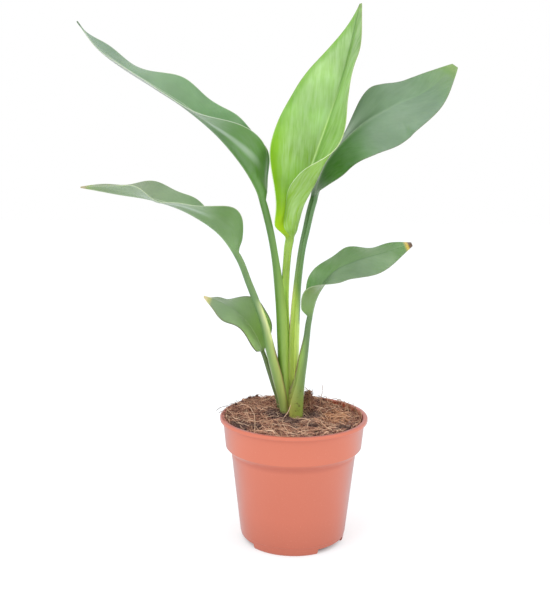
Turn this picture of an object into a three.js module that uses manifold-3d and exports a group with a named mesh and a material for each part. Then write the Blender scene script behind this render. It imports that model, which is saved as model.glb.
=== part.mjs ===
// Potted bird of paradise: a young strelitzia with six leaves in a 12 cm nursery pot.
//
// Units are millimetres, +Z is up. The origin is the middle of the pot's foot, on the
// surface that the pot stands on. The leaves fan out in the X-Z plane, as this plant's do,
// and -Y is the front, which faces the viewer.
//
// Each leaf is one solid: sheath, stalk and blade grow as one piece. The section starts as a
// thick channelled stalk and opens into a thin folded blade with a keel under its midrib.

import * as THREE from 'three';
import { mergeVertices } from 'three/addons/utils/BufferGeometryUtils.js';
import Module from 'manifold-3d';

const wasm = await Module();
wasm.setup();

// Pot: a thin plastic nursery pot. Radii are outside radii.
const POT = {
  height: 103,
  rimRadius: 60,
  lipDepth: 3,
  collarTopRadius: 57.6,
  collarFootRadius: 55.4,
  collarFootZ: 78.6,
  shoulderRadius: 50.9,
  shoulderZ: 73.6,
  stepZ: 7,
  stepDepth: 0.35,
  bodyFootRadius: 43.7,
  footRadius: 42.3,
  footRounding: 2.6,
  wall: 1.3,
  floorZ: 5,
  footRingWidth: 2.4,
  notchHeight: 4.3,
  notchWidthDeg: 46,
  notchCentresDeg: [-39, 81, 201],
  drainRadius: 3.6,
  drainCircle: 27,
  drainCount: 6,
  drainSides: 12,
  centreFootRadius: 8,
  segments: 48,
};

// Play between pieces that touch on the real plant.
const GAP = 0.3;

// Soil: coir and peat, heaped against the rim at the left and the back.
// heaps: x, y, radius and height of each.
const SOIL = {
  level: 100.3,
  edgeDrop: 1,
  slopeX: -0.01,
  heaps: [[-46, 12, 20, 3], [-18, 6, 13, 4], [-36, 40, 18, 4], [-8, 52, 16, 4], [18, 46, 12, 4.2]],
  rings: 7,
  segments: 28,
  fibres: 20,
  fibreSteps: 4,
  fibreRadius: 0.5,
  clods: 8,
};

// A tuft of coir that stands up behind the stalks, at the right.
const TUFT = { x: 12, y: 25, z: 102, radius: 5.2, height: 12 };

// The clump of stalks stands here, and the soil's loose bits keep clear of it.
const CLUMP = { x: -2, y: 9, radius: 15 };

// Crown and roots in the soil.
const CROWN = { top: 84.4, bottom: 62, radius: 11, x: -2.5, y: 10.5 };
const ROOTS = { count: 7, sides: 6, steps: 7, radius: 2.6, tipRadius: 1.1, spread: 31, bottom: 14 };

// Leaf: values that all leaves share.
const LEAF = {
  thickness: 0.7,
  stalkSteps: 13,
  bladeSteps: 23,
  halfSteps: 5,
  edgeAngle: THREE.MathUtils.degToRad(128),
  lipAngle: THREE.MathUtils.degToRad(135),
  grooveDepth: 0.42,
  channelHeight: 0.2,
  keelDepth: 1.2,
  keelTip: 0.12,
  blend: 0.08,
  tipEnd: 0.985,
};

// The six leaves.
// stalk: x, y, z of the centre, half width across the fan, half depth front to back.
// midrib: x, y, z of the midrib from the blade's base to its tip.
// face: the direction that the upper side of the blade looks in, from base to tip.
// Each half of the blade has its half width, where along the blade it is widest (rise and
// fall), its fold from the flat and its curl in degrees from base to tip, its margin's wave as
// height, count and phase in degrees, and how full it is from base to tip, as a share.
const LEAVES = [
  {
    name: 'leaf_lower_left',
    colour: 0x6f9a63,
    stalk: [
      [-6, 8, 87, 4, 6], [-8, 8, 110, 4.3, 6.5], [-13, 6.5, 133, 5, 6.5], [-18.5, 5, 154, 4.5, 5.4],
      [-24, 3, 177, 3.8, 4.3], [-29.5, 1, 193, 3.3, 3.6], [-36.5, 0, 211, 3, 3.1], [-45, -1, 232, 2.9, 3],
    ],
    midrib: [
      [-60, -2, 252], [-85, -3, 268], [-112, -4, 277], [-140, -4, 281], [-171, -4, 286],
    ],
    face: [[0.8, 0, 0.6], [0.5, 0, 0.8], [0.2, 0, 0.9], [0, 0, 1]],
    left: {
      width: 27.7, rise: 0.94, fall: 1.31,
      fold: [88, 77, 38, 18, -9, 22, 55, 81], curl: [40, 34, 17, -2, 0, 0, 0, 0],
      wave: [6.2, 1.74, 71], fullness: [0.91, 1.02, 1.09, 1.02, 0.99, 1.02, 0.98, 0.98, 0.98, 1.02],
    },
    right: {
      width: 25, rise: 0.6, fall: 0.8,
      fold: [-12, -4, 6, 21, 30, 31, 25, 20], curl: [20, 21, 12, -1, 0, 0, 0, 0],
      wave: [1.7, 3.85, 279], fullness: [1, 1, 1, 0.99, 1, 1.01, 0.99, 1.01, 1, 1],
    },
  },
  {
    name: 'leaf_lower_right',
    colour: 0x6f9a63,
    stalk: [
      [1.5, 5, 87, 5.2, 6], [2, 4.5, 109, 5.8, 6.4], [4.5, 3, 131, 4.5, 5.4], [7, 0.5, 151, 3.9, 4.5],
      [9.4, -2, 167, 2.8, 3.2], [11.4, -4.5, 183, 2.4, 2.5],
    ],
    midrib: [
      [17, -6, 203], [30, -7, 221], [48, -8, 230.5], [68, -9, 237], [92, -10, 245],
    ],
    face: [[-0.6, -0.3, 0.6], [-0.35, -0.6, 0.7], [-0.2, -0.6, 0.8]],
    left: {
      width: 17.1, rise: 0.69, fall: 0.6,
      fold: [24, 20, 13, 0, -10, -18, -16], curl: [0, 0, 0, 0, 0, 0, 0],
      wave: [2.1, 3.33, 124], fullness: [1, 1.01, 1.02, 1.01, 0.97, 1.02, 0.99, 1, 1, 1],
    },
    right: {
      width: 18.6, rise: 0.61, fall: 0.68,
      fold: [72, 55, 23, 4, -13, -15, 2], curl: [50, 47, 25, 3, -5, 0, 0],
      wave: [2.7, 2.57, 280], fullness: [0.99, 0.97, 1, 1.02, 0.98, 1.02, 0.99, 1.01, 1.03, 1.01],
    },
  },
  {
    name: 'leaf_small_left',
    colour: 0x6f9a63,
    stalk: [
      [-8, 17.5, 87, 3.2, 3.2], [-12, 18, 110, 3, 3.2], [-16, 18, 121, 2.4, 2.6], [-20.5, 18, 134, 2, 2.2],
      [-26, 17, 151, 1.8, 2],
    ],
    midrib: [
      [-34, 15, 169], [-46, 14, 184], [-60, 13, 193], [-75, 12, 199],
    ],
    face: [[0.6, -0.4, 0.6], [0.4, -0.6, 0.7], [0.25, -0.7, 0.7]],
    left: {
      width: 20.1, rise: 0.51, fall: 0.87,
      fold: [10, 20, 19, 9, -1, 0], curl: [0, 0, 0, 0, 0, 0],
      wave: [1.6, 2.08, 150], fullness: [0.97, 0.99, 1, 1, 1, 1, 1.02, 1.02, 1.02, 1.01],
    },
    right: {
      width: 21, rise: 0.6, fall: 1.06,
      fold: [14, 19, 19, -9, -41, -35], curl: [0, 0, 0, 0, 0, 0],
      wave: [2, 3.26, 229], fullness: [1, 0.98, 0.98, 1.01, 1.04, 1, 1, 1, 0.99, 0.99],
    },
  },
  {
    name: 'leaf_young',
    colour: 0x9ccb5c,
    blend: 0.07,
    stalk: [
      [-2, 15, 91, 2.9, 2.9], [-3.5, 15, 121, 3, 3], [-6, 14, 156, 3.1, 3.1], [-8, 12.5, 191, 3.1, 3.1],
      [-7.8, 11, 211, 3.1, 3.1], [-6.8, 9.5, 229, 3.1, 3.1], [-5, 8.5, 244, 3.5, 3.5],
    ],
    midrib: [
      [1.5, 8, 271], [11.2, 8, 302], [24, 9, 338], [35, 11, 372], [41, 13, 396], [48.6, 15, 430.5],
    ],
    face: [[-0.1, -1, 0], [-0.1, -1, 0]],
    left: {
      width: 36.8, rise: 0.62, fall: 1.09,
      fold: [20, 27, 24, 11, 1, -5, -12, -16], curl: [30, 35, 30, 0, 7, -8, -21, -36],
      wave: [2.5, 3.19, 261], fullness: [0.95, 0.79, 0.87, 0.98, 1.02, 1.01, 1.02, 0.99, 1, 0.99],
    },
    right: {
      width: 35.8, rise: 0.56, fall: 0.91,
      fold: [39, 32, 19, 51, 68, 79, 76, 79], curl: [90, 215, 171, 30, 1, -18, -17, -11],
      wave: [2.6, 1.97, 7], fullness: [1.01, 0.86, 0.98, 0.98, 0.98, 1.1, 0.99, 1, 0.99, 0.99],
    },
  },
  {
    name: 'leaf_upper_left',
    colour: 0x5e9458,
    stalk: [
      [-5.5, 12, 87, 4.5, 7.5], [-6.5, 12, 109, 4.6, 7.5], [-8, 11.5, 135, 5, 7.2],
      [-9, 10.5, 161, 5.2, 6.6], [-10.3, 9, 187, 5, 5.8], [-12.7, 8, 209, 4.3, 4.7],
      [-15.7, 6.5, 230, 3.4, 3.6], [-19.5, 5, 251, 3.3, 3.4], [-25, 4, 273, 3.3, 3.3],
    ],
    midrib: [
      [-30, 3.5, 287], [-42, 3, 306], [-61.5, 2, 328], [-85.5, 1, 347.5], [-109.5, 0, 362.5],
      [-134, -2, 377.5], [-155, -4, 394], [-168.3, -6, 412.5],
    ],
    face: [[0.8, 0, 0.6], [0.8, 0, 0.8], [0.5, 0, 0.8], [0.5, 0, 0.8]],
    left: {
      width: 29.5, rise: 1.16, fall: 1.16,
      fold: [75, 101, 48, 7, -2, -10, -6, 37], curl: [45, 50, 44, 26, 3, -2, 0, 0],
      wave: [5.9, 1.57, 36], fullness: [1.02, 1.01, 1.03, 0.97, 0.94, 0.98, 1.01, 1.04, 1, 0.99],
    },
    right: {
      width: 22.6, rise: 0.66, fall: 0.94,
      fold: [-21, 36, 90, 60, 41, 36, 18, 12], curl: [20, 13, 5, -1, 0, 0, 0, 0],
      wave: [4.5, 3.64, 52], fullness: [0.96, 1, 1.06, 0.92, 0.97, 1.04, 0.93, 1.01, 1, 1],
    },
  },
  {
    name: 'leaf_upper_right',
    colour: 0x5c8a63,
    stalk: [
      [-0.5, 12, 87, 4.3, 7.5], [-0.5, 12, 113, 4.3, 7.5], [-0.5, 12, 141, 4.2, 7],
      [-0.2, 11.3, 169, 4.1, 6.2], [0.6, 10, 191, 3.7, 5.2], [2, 9, 211, 3.1, 3.9], [4.9, 8, 236, 2.9, 3.2],
      [8.5, 8, 254, 3, 3], [13.3, 9, 275, 3.1, 3.1],
    ],
    midrib: [
      [24, 13, 306], [47, 15, 332], [75, 14, 350], [100, 12, 362], [123, 10, 382.5],
    ],
    face: [[-0.5, -0.6, 0.5], [-0.4, -0.8, 0.55], [-0.3, -0.85, 0.55]],
    left: {
      width: 28.8, rise: 0.69, fall: 0.68,
      fold: [-9, -49, -38, -14, -5, -16, -21], curl: [0, 0, 0, 0, 0, 0, 0],
      wave: [2.6, 3.13, 211], fullness: [1.01, 1.02, 1.01, 1.02, 0.93, 1.07, 0.92, 0.99, 0.97, 0.98],
    },
    right: {
      width: 30.1, rise: 0.64, fall: 0.61,
      fold: [53, 5, -8, -20, -12, 12, 24], curl: [0, 0, 0, 0, 0, 0, 0],
      wave: [2.8, 3.02, 110], fullness: [1.02, 1.05, 0.95, 1, 0.94, 1.01, 1.02, 0.98, 0.99, 0.99],
    },
  },
];

// A seeded draw between 0 and 1, so that every build lays the same soil.
function seededDraw(seed) {
  let state = seed;
  return () => {
    state = (Math.imul(state, 1664525) + 1013904223) >>> 0;
    return state / 4294967296;
  };
}

// A smooth curve through evenly spaced keys, each a number or a list of numbers.
function through(keys, t) {
  const n = keys.length - 1;
  const x = Math.min(Math.max(t, 0), 1) * n;
  const i = Math.min(Math.floor(x), n - 1);
  const u = x - i;
  const rows = keys.map((key) => (Array.isArray(key) ? key : [key]));
  const before = i > 0 ? rows[i - 1] : rows[0].map((v, k) => 2 * v - rows[1][k]);
  const after = i + 2 <= n ? rows[i + 2] : rows[n].map((v, k) => 2 * v - rows[n - 1][k]);
  const value = rows[i].map((b, k) => {
    const a = before[k];
    const c = rows[i + 1][k];
    const d = after[k];
    return 0.5 * (2 * b + (c - a) * u + (2 * a - 5 * b + 4 * c - d) * u * u + (3 * b - a - 3 * c + d) * u ** 3);
  });
  return Array.isArray(keys[0]) ? value : value[0];
}

function toVector([x, y, z]) {
  return new THREE.Vector3(x, y, z);
}

// The part of a direction that is square to the unit vector along.
function squareTo(direction, along) {
  return direction.clone().addScaledVector(along, -direction.dot(along)).normalize();
}

function meshFrom(points, triangles) {
  const geometry = new THREE.BufferGeometry();
  const positions = points.flatMap((p) => [p.x, p.y, p.z]);
  geometry.setAttribute('position', new THREE.Float32BufferAttribute(positions, 3));
  geometry.setIndex(triangles.flat());
  return geometry;
}

// Closes the space between an upper and a lower grid of points. Both faces are split into
// triangles alike, so that a waved sheet stays a sheet.
function sheetSolid(upper, lower) {
  const rows = upper.length;
  const cols = upper[0].length;
  const points = [...upper.flat(), ...lower.flat()];
  const top = (i, j) => i * cols + j;
  const under = (i, j) => rows * cols + i * cols + j;
  const triangles = [];
  const quad = (a, b, c, d) => triangles.push([a, b, c], [a, c, d]);
  for (let i = 0; i < rows - 1; i++) {
    for (let j = 0; j < cols - 1; j++) {
      triangles.push(
        [top(i, j), top(i + 1, j + 1), top(i + 1, j)],
        [top(i, j), top(i, j + 1), top(i + 1, j + 1)],
      );
      triangles.push(
        [under(i, j), under(i + 1, j), under(i + 1, j + 1)],
        [under(i, j), under(i + 1, j + 1), under(i, j + 1)],
      );
    }
    quad(top(i, 0), top(i + 1, 0), under(i + 1, 0), under(i, 0));
    quad(top(i + 1, cols - 1), top(i, cols - 1), under(i, cols - 1), under(i + 1, cols - 1));
  }
  for (let j = 0; j < cols - 1; j++) {
    quad(top(0, j + 1), top(0, j), under(0, j), under(0, j + 1));
    quad(top(rows - 1, j), top(rows - 1, j + 1), under(rows - 1, j + 1), under(rows - 1, j));
  }
  return meshFrom(points, triangles);
}

// Closes a tube whose rings all have the same number of points.
function tubeSolid(rings) {
  const n = rings[0].length;
  const last = rings.length - 1;
  const points = rings.flat();
  const triangles = [];
  for (let i = 0; i < last; i++) {
    for (let j = 0; j < n; j++) {
      const k = (j + 1) % n;
      triangles.push([i * n + j, i * n + k, (i + 1) * n + k], [i * n + j, (i + 1) * n + k, (i + 1) * n + j]);
    }
  }
  for (let j = 1; j < n - 1; j++) {
    triangles.push([0, j + 1, j], [last * n, last * n + j, last * n + j + 1]);
  }
  return meshFrom(points, triangles);
}

function toSolid(geometry) {
  const bare = geometry.clone();
  bare.deleteAttribute('normal');
  bare.deleteAttribute('uv');
  const merged = mergeVertices(bare, 1e-4);
  const index = merged.index.array;
  const kept = [];
  for (let i = 0; i < index.length; i += 3) {
    const [a, b, c] = [index[i], index[i + 1], index[i + 2]];
    if (a !== b && b !== c && c !== a) kept.push(a, b, c);
  }
  const vertProperties = Float32Array.from(merged.attributes.position.array);
  const close = () => {
    const mesh = new wasm.Mesh({ numProp: 3, vertProperties, triVerts: Uint32Array.from(kept) });
    return new wasm.Manifold(mesh);
  };
  const solid = close();
  if (solid.volume() > 0) return solid;
  for (let i = 0; i < kept.length; i += 3) {
    [kept[i + 1], kept[i + 2]] = [kept[i + 2], kept[i + 1]];
  }
  return close();
}

function toGeometry(solid) {
  const mesh = solid.getMesh();
  const geometry = new THREE.BufferGeometry();
  const positions = [];
  for (let i = 0; i < mesh.vertProperties.length; i += mesh.numProp) {
    positions.push(mesh.vertProperties[i], mesh.vertProperties[i + 1], mesh.vertProperties[i + 2]);
  }
  geometry.setAttribute('position', new THREE.Float32BufferAttribute(positions, 3));
  geometry.setIndex(Array.from(mesh.triVerts));
  geometry.computeVertexNormals();
  return geometry;
}

// A cut can leave loose scraps, and only the largest piece stays.
function largestPiece(solid) {
  return solid.decompose().reduce((best, piece) => (piece.volume() > best.volume() ? piece : best));
}

function lathe(profile, segments) {
  const geometry = new THREE.LatheGeometry(profile.map(([r, z]) => new THREE.Vector2(r, z)), segments);
  return geometry.rotateX(Math.PI / 2);
}

function finish(colour, roughness) {
  return new THREE.MeshStandardMaterial({ color: colour, roughness, metalness: 0, side: THREE.DoubleSide });
}

function named(name, solid, material) {
  const mesh = new THREE.Mesh(toGeometry(solid), material);
  mesh.name = name;
  return mesh;
}

// The inside of the pot, from the middle of its floor to just under the rim.
function potInside(clearance) {
  const r = POT.wall + clearance;
  return [
    [0, r],
    [POT.centreFootRadius - r, r],
    [POT.centreFootRadius - r + 1.5, POT.floorZ + r],
    [POT.footRadius - r + 0.4, POT.floorZ + r],
    [POT.shoulderRadius - r, POT.shoulderZ + 0.6],
    [POT.collarFootRadius - r, POT.collarFootZ + 1.2],
    [POT.collarTopRadius - r, POT.height - POT.lipDepth],
  ];
}

function makePot() {
  const rounding = [0, 1, 2, 3].map((k) => {
    const a = (k / 3) * (Math.PI / 2);
    return [
      POT.footRadius - POT.footRounding * 0.5 * (1 - Math.sin(a)),
      POT.footRounding * (1 - Math.cos(a)) * 0.9,
    ];
  });
  const inner = potInside(0);
  const profile = [
    [0, 0],
    [POT.centreFootRadius - 0.6, 0],
    [POT.centreFootRadius, 0.6],
    [POT.centreFootRadius + 1.5, POT.floorZ],
    [POT.footRadius - POT.footRingWidth - 1.3, POT.floorZ],
    [POT.footRadius - POT.footRingWidth - 1.3, 0.4],
    [POT.footRadius - POT.footRingWidth - 0.9, 0],
    ...rounding,
    [POT.bodyFootRadius - 0.7, POT.stepZ - 0.5],
    [POT.bodyFootRadius - 0.7 + POT.stepDepth, POT.stepZ],
    [POT.shoulderRadius, POT.shoulderZ],
    [POT.shoulderRadius + 0.6, POT.shoulderZ + 1],
    [POT.collarFootRadius - 0.7, POT.collarFootZ - 0.8],
    [POT.collarFootRadius, POT.collarFootZ],
    [POT.collarTopRadius, POT.height - POT.lipDepth],
    [POT.rimRadius - 0.5, POT.height - POT.lipDepth],
    [POT.rimRadius, POT.height - POT.lipDepth + 0.5],
    [POT.rimRadius, POT.height - 0.8],
    [POT.rimRadius - 0.8, POT.height],
    [POT.collarTopRadius - POT.wall + 0.6, POT.height],
    [inner.at(-1)[0], POT.height - 0.8],
    ...inner.reverse(),
  ];
  let pot = toSolid(lathe(profile, POT.segments));
  for (const centre of POT.notchCentresDeg) {
    pot = pot.subtract(makeNotch(centre));
  }
  for (let k = 0; k < POT.drainCount; k++) {
    const a = (k / POT.drainCount) * 2 * Math.PI + Math.PI / 6;
    const hole = new THREE.CylinderGeometry(POT.drainRadius, POT.drainRadius, 4 * POT.wall, POT.drainSides);
    hole.rotateX(Math.PI / 2);
    hole.translate(POT.drainCircle * Math.cos(a), POT.drainCircle * Math.sin(a), POT.floorZ + POT.wall / 2);
    pot = pot.subtract(toSolid(hole));
  }
  return pot;
}

// A shallow gap in the foot ring, through which the pot drains.
function makeNotch(centreDeg) {
  const half = POT.notchWidthDeg / 2;
  const from = THREE.MathUtils.degToRad(centreDeg - half);
  const to = THREE.MathUtils.degToRad(centreDeg + half);
  const inside = POT.footRadius - POT.footRingWidth - 3;
  const outside = POT.footRadius + 4;
  const outline = new THREE.Shape();
  outline.absarc(0, 0, outside, from, to, false);
  outline.absarc(0, 0, inside, to, from, true);
  const settings = { depth: POT.notchHeight + 2, bevelEnabled: false, curveSegments: 10 };
  const notch = new THREE.ExtrudeGeometry(outline, settings);
  return toSolid(notch.translate(0, 0, -2));
}

// The soil's surface: a slope, heaps, low hummocks, and a drop where it meets the wall.
function soilHeight(x, y) {
  const r = Math.hypot(x, y) / POT.collarFootRadius;
  let heaps = SOIL.slopeX * x;
  for (const [hx, hy, radius, height] of SOIL.heaps) {
    heaps += height * Math.exp(-((x - hx) ** 2 + (y - hy) ** 2) / radius ** 2);
  }
  const hummocks = 1.1 * Math.sin(x / 7 + 0.6) * Math.cos(y / 8) + 0.7 * Math.sin(x / 3.4 + y / 4.3)
    + 0.5 * Math.cos(x / 2.6 - y / 3.1 + 1.2);
  return SOIL.level + heaps + hummocks * (1 - 0.5 * r ** 4) - SOIL.edgeDrop * r ** 6;
}

function makeSoilBody() {
  const side = potInside(GAP);
  const [collarTop, collarFoot] = [side.pop(), side.at(-1)];
  const edgeZ = SOIL.level - SOIL.edgeDrop - 5;
  const sideRadius = (z) => {
    const t = (z - collarFoot[1]) / (collarTop[1] - collarFoot[1]);
    return collarFoot[0] + (collarTop[0] - collarFoot[0]) * t;
  };
  const profile = [...side, [sideRadius(edgeZ), edgeZ]];
  const surfaceStart = profile.length;
  for (let k = 0; k <= SOIL.rings; k++) {
    profile.push([sideRadius(SOIL.level) * (1 - k / SOIL.rings), SOIL.level]);
  }
  const geometry = lathe(profile, SOIL.segments);
  const position = geometry.attributes.position;
  const perTurn = profile.length;
  for (let i = 0; i < position.count; i++) {
    if (i % perTurn >= surfaceStart) {
      const z = soilHeight(position.getX(i), position.getY(i));
      const squeeze = Math.min(sideRadius(z) / sideRadius(SOIL.level), 1);
      position.setXYZ(i, position.getX(i) * squeeze, position.getY(i) * squeeze, z);
    }
  }
  return toSolid(geometry);
}

// One coir fibre: a thin three-sided strand that arches out of the soil and back in.
function makeFibre(draw) {
  const angle = draw() * 2 * Math.PI;
  const radius = CLUMP.radius + 4 + (POT.collarFootRadius - CLUMP.radius - 15) * Math.sqrt(draw());
  const x = radius * Math.cos(angle) * 0.97;
  const y = radius * Math.sin(angle) * 0.97;
  const heading = draw() * 2 * Math.PI;
  const length = 7 + 9 * draw();
  const rise = 1.2 + 1.6 * draw();
  const bow = (draw() - 0.5) * 5;
  const steps = SOIL.fibreSteps;
  const rings = [];
  for (let k = 0; k <= steps; k++) {
    const t = k / steps - 0.5;
    const side = bow * (1 - 4 * t * t);
    const px = x + Math.cos(heading) * length * t - Math.sin(heading) * side;
    const py = y + Math.sin(heading) * length * t + Math.cos(heading) * side;
    const inside = Math.hypot(px, py) < POT.collarFootRadius - 5;
    const clear = Math.hypot(px - CLUMP.x, py - CLUMP.y) > CLUMP.radius + 2;
    if (!inside || !clear) return null;
    const pz = soilHeight(px, py) - 1.6 + (rise + 1.6) * (1 - 4 * t * t);
    const across = new THREE.Vector3(-Math.sin(heading), Math.cos(heading), 0);
    rings.push([90, 210, 330].map((deg) => {
      const a = THREE.MathUtils.degToRad(deg);
      const point = new THREE.Vector3(px, py, pz).addScaledVector(across, SOIL.fibreRadius * Math.cos(a));
      point.z += SOIL.fibreRadius * Math.sin(a);
      return point;
    }));
  }
  return toSolid(tubeSolid(rings));
}

// One crumb of peat, pressed into the surface.
function makeClod(draw) {
  const angle = draw() * 2 * Math.PI;
  const radius = CLUMP.radius + 6 + (POT.collarFootRadius - CLUMP.radius - 18) * Math.sqrt(draw());
  const x = radius * Math.cos(angle);
  const y = radius * Math.sin(angle);
  const size = 2 + 2 * draw();
  if (Math.hypot(x - CLUMP.x, y - CLUMP.y) < CLUMP.radius + size + 2) return null;
  const clod = new THREE.IcosahedronGeometry(size, 0).scale(1, 0.8, 0.6).rotateZ(draw() * 3);
  return toSolid(clod.translate(x, y, soilHeight(x, y) + 0.1 * size));
}

function makeTuft() {
  const tuft = new THREE.IcosahedronGeometry(1, 1).scale(TUFT.radius, TUFT.radius, TUFT.height);
  return toSolid(tuft.translate(TUFT.x, TUFT.y, TUFT.z));
}

// Draws pieces until the wanted number has found a place.
function scatter(count, seed, makeOne) {
  const draw = seededDraw(seed);
  const pieces = [];
  while (pieces.length < count) {
    const piece = makeOne(draw);
    if (piece) pieces.push(piece);
  }
  return pieces;
}

// The crown that the stalks grow from, with its fleshy roots, grown by the clearance given.
function makeCrown(clearance) {
  const profile = [
    [0, CROWN.bottom - clearance],
    [CROWN.radius * 0.6 + clearance, CROWN.bottom - clearance],
    [CROWN.radius + clearance, CROWN.bottom + 9],
    [CROWN.radius * 0.9 + clearance, CROWN.top - 4],
    [CROWN.radius * 0.7 + clearance, CROWN.top + clearance],
    [0, CROWN.top + clearance],
  ];
  let crown = toSolid(lathe(profile, 14).translate(CROWN.x, CROWN.y, 0));
  for (let k = 0; k < ROOTS.count; k++) {
    const a = ((k + 0.3) / ROOTS.count) * 2 * Math.PI;
    const depth = CROWN.bottom + 8;
    const reach = ROOTS.spread * (k % 2 ? 0.75 : 1);
    const at = (share, turn, x, y, z) => {
      return new THREE.Vector3(x + share * reach * Math.cos(a + turn), y + share * reach * Math.sin(a + turn), z);
    };
    const path = new THREE.CatmullRomCurve3([
      at(0, 0, CROWN.x, CROWN.y, depth),
      at(0.45, 0, CROWN.x, CROWN.y * 0.6, depth - 8),
      at(0.85, 0.2, 0, 0, depth * 0.55),
      at(1, 0.5, 0, 0, ROOTS.bottom + 4 * (k % 3)),
    ]);
    const rings = [];
    for (let i = 0; i <= ROOTS.steps; i++) {
      const t = i / ROOTS.steps;
      const centre = path.getPoint(t);
      const along = path.getTangent(t);
      const side = squareTo(new THREE.Vector3(-Math.sin(a), Math.cos(a), 0), along);
      const up = side.clone().cross(along);
      const r = ROOTS.radius + (ROOTS.tipRadius - ROOTS.radius) * t + clearance;
      rings.push(Array.from({ length: ROOTS.sides }, (unused, n) => {
        const b = (n / ROOTS.sides) * 2 * Math.PI;
        return centre.clone().addScaledVector(side, r * Math.cos(b)).addScaledVector(up, r * Math.sin(b));
      }));
    }
    crown = crown.add(toSolid(tubeSolid(rings)));
  }
  return crown;
}

// Where the leaf is, how it is turned and how thick its stalk is, at a step of the leaf.
// Steps below 0 run down the stalk, steps from 0 to 1 run along the blade.
function leafFrame(leaf, step) {
  const path = [...leaf.stalk.map((row) => row.slice(0, 3)), ...leaf.midrib];
  const base = leaf.stalk.length - 1;
  const end = path.length - 1;
  const at = step < 0 ? (base * (1 + step)) / end : (base + step * (end - base)) / end;
  const nudge = 1e-3;
  const centre = toVector(through(path, at));
  const along = toVector(through(path, Math.min(at + nudge, 1)))
    .sub(toVector(through(path, Math.max(at - nudge, 0)))).normalize();
  const face = squareTo(toVector(step < 0 ? leaf.face[0] : through(leaf.face, step)), along);
  const across = along.clone().cross(face);
  const front = squareTo(new THREE.Vector3(0, -1, 0), along);
  const side = along.clone().cross(front);
  let [wide, deep] = leaf.stalk[base].slice(3);
  if (step < 0) {
    [wide, deep] = through(leaf.stalk.map((row) => row.slice(3)), 1 + step);
  } else {
    const left = LEAF.keelTip + (1 - LEAF.keelTip) * (1 - step) ** 0.9;
    [wide, deep] = [wide * left, deep * left];
  }
  return { centre, face, across, front, side, wide, deep };
}

// How wide the blade is along its length, as a share of its greatest width.
function widthShare(half, t) {
  const widest = half.rise / (half.rise + half.fall);
  return (t / widest) ** half.rise * ((1 - t) / (1 - widest)) ** half.fall * through(half.fullness, t);
}

// The blade's upper and lower point at a share v of its half width, in the plane of the section.
function bladeSection(half, t, v, keelWide, keelHigh) {
  const width = half.width * widthShare(half, t);
  const fold = THREE.MathUtils.degToRad(through(half.fold, t));
  let curl = THREE.MathUtils.degToRad(through(half.curl, t));
  if (Math.abs(curl) < 1e-4) curl = 1e-4;
  const angle = fold + curl * v;
  const [height, count, phase] = half.wave;
  const wave = height * v * v * Math.sin(2 * Math.PI * count * t + THREE.MathUtils.degToRad(phase))
    * Math.sqrt(Math.sin(Math.PI * t));
  const normal = new THREE.Vector2(-Math.sin(angle), Math.cos(angle));
  const upper = new THREE.Vector2(
    (width * (Math.sin(angle) - Math.sin(fold))) / curl,
    (-width * (Math.cos(angle) - Math.cos(fold))) / curl + LEAF.channelHeight * keelHigh,
  ).addScaledVector(normal, wave);
  const fromRib = v * width;
  const keel = Math.max(LEAF.keelDepth * keelHigh - LEAF.thickness, 0)
    * Math.exp(-((fromRib / (1.3 * keelWide + 0.5)) ** 2));
  const nearRib = Math.exp(-((fromRib / 1.5) ** 2));
  const down = normal.multiplyScalar(1 - nearRib);
  down.y += nearRib;
  down.normalize();
  return { upper, lower: upper.clone().addScaledVector(down, -(LEAF.thickness + keel)) };
}

// One row across the leaf: its upper points and its lower points, from left to right.
function leafRow(leaf, step) {
  const frame = leafFrame(leaf, step);
  const onStalk = (p, q) => {
    const unit = frame.across.clone().multiplyScalar(p).addScaledVector(frame.face, q);
    return frame.side.clone().multiplyScalar(frame.wide * unit.dot(frame.side))
      .addScaledVector(frame.front, frame.deep * unit.dot(frame.front));
  };
  const keelHigh = onStalk(0, 1).length();
  const keelWide = onStalk(1, 0).length();
  const share = THREE.MathUtils.smoothstep(step, 0, leaf.blend ?? LEAF.blend);
  const upperRow = [];
  const lowerRow = [];
  for (let j = -LEAF.halfSteps; j <= LEAF.halfSteps; j++) {
    const sign = j < 0 ? -1 : 1;
    const v = (Math.abs(j) / LEAF.halfSteps) ** 1.3;
    const edge = v * LEAF.edgeAngle;
    const floor = -Math.cos(LEAF.lipAngle) - LEAF.grooveDepth * (1 - v * v);
    const upper = onStalk(sign * v * Math.sin(LEAF.lipAngle), floor);
    const lower = onStalk(sign * Math.sin(edge), -Math.cos(edge));
    if (share > 0) {
      const half = sign < 0 ? leaf.left : leaf.right;
      const blade = bladeSection(half, step, v, keelWide, keelHigh);
      const place = (point) => {
        return frame.across.clone().multiplyScalar(sign * point.x).addScaledVector(frame.face, point.y);
      };
      upper.lerp(place(blade.upper), share);
      lower.lerp(place(blade.lower), share);
    }
    upperRow.push(upper.add(frame.centre));
    lowerRow.push(lower.add(frame.centre));
  }
  return { upperRow, lowerRow };
}

function makeLeaf(leaf) {
  const steps = [];
  for (let k = 0; k < LEAF.stalkSteps; k++) steps.push(k / LEAF.stalkSteps - 1);
  for (let k = 0; k <= LEAF.bladeSteps; k++) steps.push(LEAF.tipEnd * (k / LEAF.bladeSteps) ** 1.2);
  const rows = steps.map((step) => leafRow(leaf, step));
  return toSolid(sheetSolid(rows.map((row) => row.upperRow), rows.map((row) => row.lowerRow)));
}

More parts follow.
